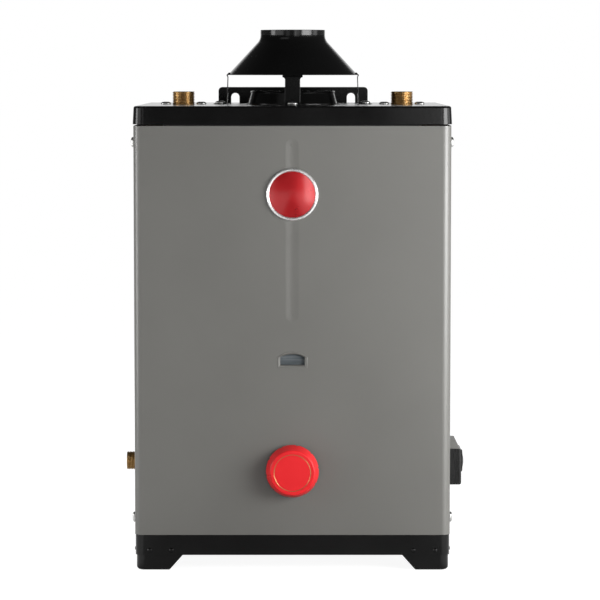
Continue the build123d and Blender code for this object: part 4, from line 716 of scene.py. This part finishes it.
WHITE = (1.0, 1.0, 1.0, 1.0)
FLOOR_HALF = 40.0
FADE_START = 0.96              # from the middle, where the shaded floor begins to turn plain white
FADE_END = 2.4
NEAR_GLOW = 0.92
NEAR_LEVEL_SEEN = 0.3          # colour of the floor around the object, as seen and mirrored
NEAR_LEVEL_LIT = 0.6           # the same for the light that it throws back
FAR_LEVEL = 0.1
BACK_START = -0.6              # along Y, where the mirrored floor turns from dim to white
BACK_END = 0.8
BACK_SHINE = 0.9
BESIDE_START = 0.16            # along X, where the floor beside the object shines on its sides
BESIDE_END = 0.23
BESIDE_SHINE = 0.8
FLOOR_ROUGHNESS = 0.9
AMBIENT = 0.0
DIM_STUDIO = 0.05
BACKDROP_START = 0.85          # of a mirrored direction's Y, where the white backdrop begins
BACKDROP_END = 0.98
FOCAL_PIXELS = 2842.5
PICTURE_PIXELS = 600.0
SENSOR_WIDTH = 36.0
CAMERA_PLACE = (0.0088, -3.4525, 0.5808)
CAMERA_DIP = 4.64              # degrees below level
CAMERA_REACH = 200.0


class Stage:
    """Node tree of the floor or of the surroundings."""

    def __init__(self, tree):
        self.tree = tree

    def math(self, operation, *values):
        made = self.tree.nodes.new("ShaderNodeMath")
        made.operation = operation
        for socket, value in zip(made.inputs, values):
            feed(self.tree, socket, value)
        return made.outputs[0]

    def eased(self, value, start, end, low, high):
        """Smooth change from low to high as the value goes from start to end."""
        made = self.tree.nodes.new("ShaderNodeMapRange")
        made.interpolation_type = "SMOOTHSTEP"
        for socket, level in zip(made.inputs, (value, start, end, low, high)):
            feed(self.tree, socket, level)
        return made.outputs[0]

    def rays(self):
        """Camera or transmission rays, and glossy rays, as two values of 0 or 1."""
        path = self.tree.nodes.new("ShaderNodeLightPath").outputs
        seen = self.math("MAXIMUM", path["Is Camera Ray"], path["Is Transmission Ray"])
        return seen, path["Is Glossy Ray"]

    def direction(self, name):
        """Object or Generated coordinates as three values."""
        place = self.tree.nodes.new("ShaderNodeTexCoord").outputs[name]
        split = self.tree.nodes.new("ShaderNodeSeparateXYZ")
        self.tree.links.new(place, split.inputs[0])
        return split.outputs


def floor():
    """Wide pale floor. It shows white around a soft shadow, and its front is dim in reflections."""
    mesh = bpy.data.meshes.new("floor")
    corners = [(-FLOOR_HALF, -FLOOR_HALF, 0), (FLOOR_HALF, -FLOOR_HALF, 0),
               (FLOOR_HALF, FLOOR_HALF, 0), (-FLOOR_HALF, FLOOR_HALF, 0)]
    mesh.from_pydata(corners, [], [(0, 1, 2, 3)])
    made = bpy.data.objects.new("floor", mesh)
    scene.collection.objects.link(made)
    material = bpy.data.materials.new("pale floor")
    material.use_nodes = True
    stage = Stage(material.node_tree)
    shader = stage.tree.nodes["Principled BSDF"]
    x, y, _ = stage.direction("Object")
    squares = [stage.math("MULTIPLY", value, value) for value in (x, y)]
    away = stage.math("SQRT", stage.math("ADD", *squares))
    seen, glossy = stage.rays()
    glow = stage.math("MULTIPLY", seen, stage.eased(away, FADE_START, FADE_END, NEAR_GLOW, 1.0))
    behind = stage.eased(y, BACK_START, BACK_END, 0.0, BACK_SHINE)
    beside = stage.eased(stage.math("ABSOLUTE", x), BESIDE_START, BESIDE_END, 0.0, BESIDE_SHINE)
    shine = stage.math("MULTIPLY", glossy, stage.math("MAXIMUM", behind, beside))
    stage.tree.links.new(stage.math("ADD", glow, shine), shader.inputs["Emission Strength"])
    shown = stage.math("MAXIMUM", seen, glossy)
    near = stage.eased(shown, 0.0, 1.0, NEAR_LEVEL_LIT, NEAR_LEVEL_SEEN)
    level = stage.eased(away, FADE_START, FADE_END, near, FAR_LEVEL)
    tone = stage.tree.nodes.new("ShaderNodeCombineColor")
    for socket in tone.inputs:
        stage.tree.links.new(level, socket)
    stage.tree.links.new(tone.outputs[0], shader.inputs["Base Color"])
    shader.inputs["Roughness"].default_value = FLOOR_ROUGHNESS
    shader.inputs["Specular IOR Level"].default_value = 0.0
    shader.inputs["Emission Color"].default_value = WHITE
    mesh.materials.append(material)


def surroundings():
    """White for the camera. Reflections show a white backdrop behind and a dim studio elsewhere."""
    world = bpy.data.worlds.new("studio")
    world.use_nodes = True
    stage = Stage(world.node_tree)
    background = world.node_tree.nodes["Background"]
    background.inputs["Color"].default_value = WHITE
    _, behind, _ = stage.direction("Generated")
    backdrop = stage.eased(behind, BACKDROP_START, BACKDROP_END, DIM_STUDIO, 1.0)
    seen, glossy = stage.rays()
    unseen = stage.eased(glossy, 0.0, 1.0, AMBIENT, backdrop)
    stage.tree.links.new(stage.eased(seen, 0.0, 1.0, unseen, 1.0), background.inputs["Strength"])
    scene.world = world


def softbox(name, place, aim, width, height, power, mirrored=True):
    """Soft lamp. One that isn't mirrored stays out of reflections."""
    lamp = bpy.data.lights.new(name, "AREA")
    lamp.shape = "RECTANGLE"
    lamp.size = width
    lamp.size_y = height
    lamp.energy = power
    made = bpy.data.objects.new(name, lamp)
    made.location = place
    made.rotation_euler = (Vector(aim) - Vector(place)).to_track_quat("-Z", "Y").to_euler()
    made.visible_glossy = mirrored
    scene.collection.objects.link(made)


def camera():
    lens = bpy.data.cameras.new("camera")
    lens.sensor_width = SENSOR_WIDTH
    lens.lens = SENSOR_WIDTH * FOCAL_PIXELS / PICTURE_PIXELS
    lens.clip_end = CAMERA_REACH
    made = bpy.data.objects.new("camera", lens)
    made.location = CAMERA_PLACE
    made.rotation_euler = (math.radians(90.0 - CAMERA_DIP), 0.0, 0.0)
    scene.collection.objects.link(made)
    scene.camera = made


floor()
surroundings()
softbox("right wall", (1.15, -0.95, 0.44), (0.0, -0.10, 0.40), width=1.0, height=0.64, power=23.5)
softbox("right key", (0.80, -0.75, 0.55), (0.10, -0.18, 0.42), width=0.5, height=0.3, power=1.5)
softbox("right side", (1.50, -0.10, 0.40), (0.15, -0.10, 0.40), width=0.5, height=0.66, power=3.4)
softbox("front right", (0.80, -2.75, 0.62), (0.05, -0.18, 0.45), width=0.85, height=1.24, power=5.0)
softbox("front strip", (0.46, -2.75, 0.66), (0.02, -0.18, 0.45), width=0.24, height=1.1, power=2.0)
softbox("front left", (-0.84, -2.70, 0.62), (-0.05, -0.18, 0.45), width=0.6, height=1.24, power=1.7)
softbox("left side", (-1.20, -0.35, 0.38), (-0.15, -0.18, 0.38), width=0.35, height=0.60, power=5.2)
softbox("left fill", (-1.95, -1.45, 0.52), (-0.10, -0.10, 0.45), width=1.8, height=0.66, power=7.0)
softbox("rear", (-0.90, 1.70, 1.20), (0.0, 0.10, 0.30), width=0.9, height=1.2, power=24.0,
        mirrored=False)
softbox("top left", (-0.85, -1.45, 1.75), (0.0, -0.20, 0.30), width=0.9, height=0.5, power=1.2)
softbox("overhead", (0.10, 0.30, 2.30), (0.0, 0.0, 0.50), width=1.2, height=1.2, power=3.0,
        mirrored=False)
camera()
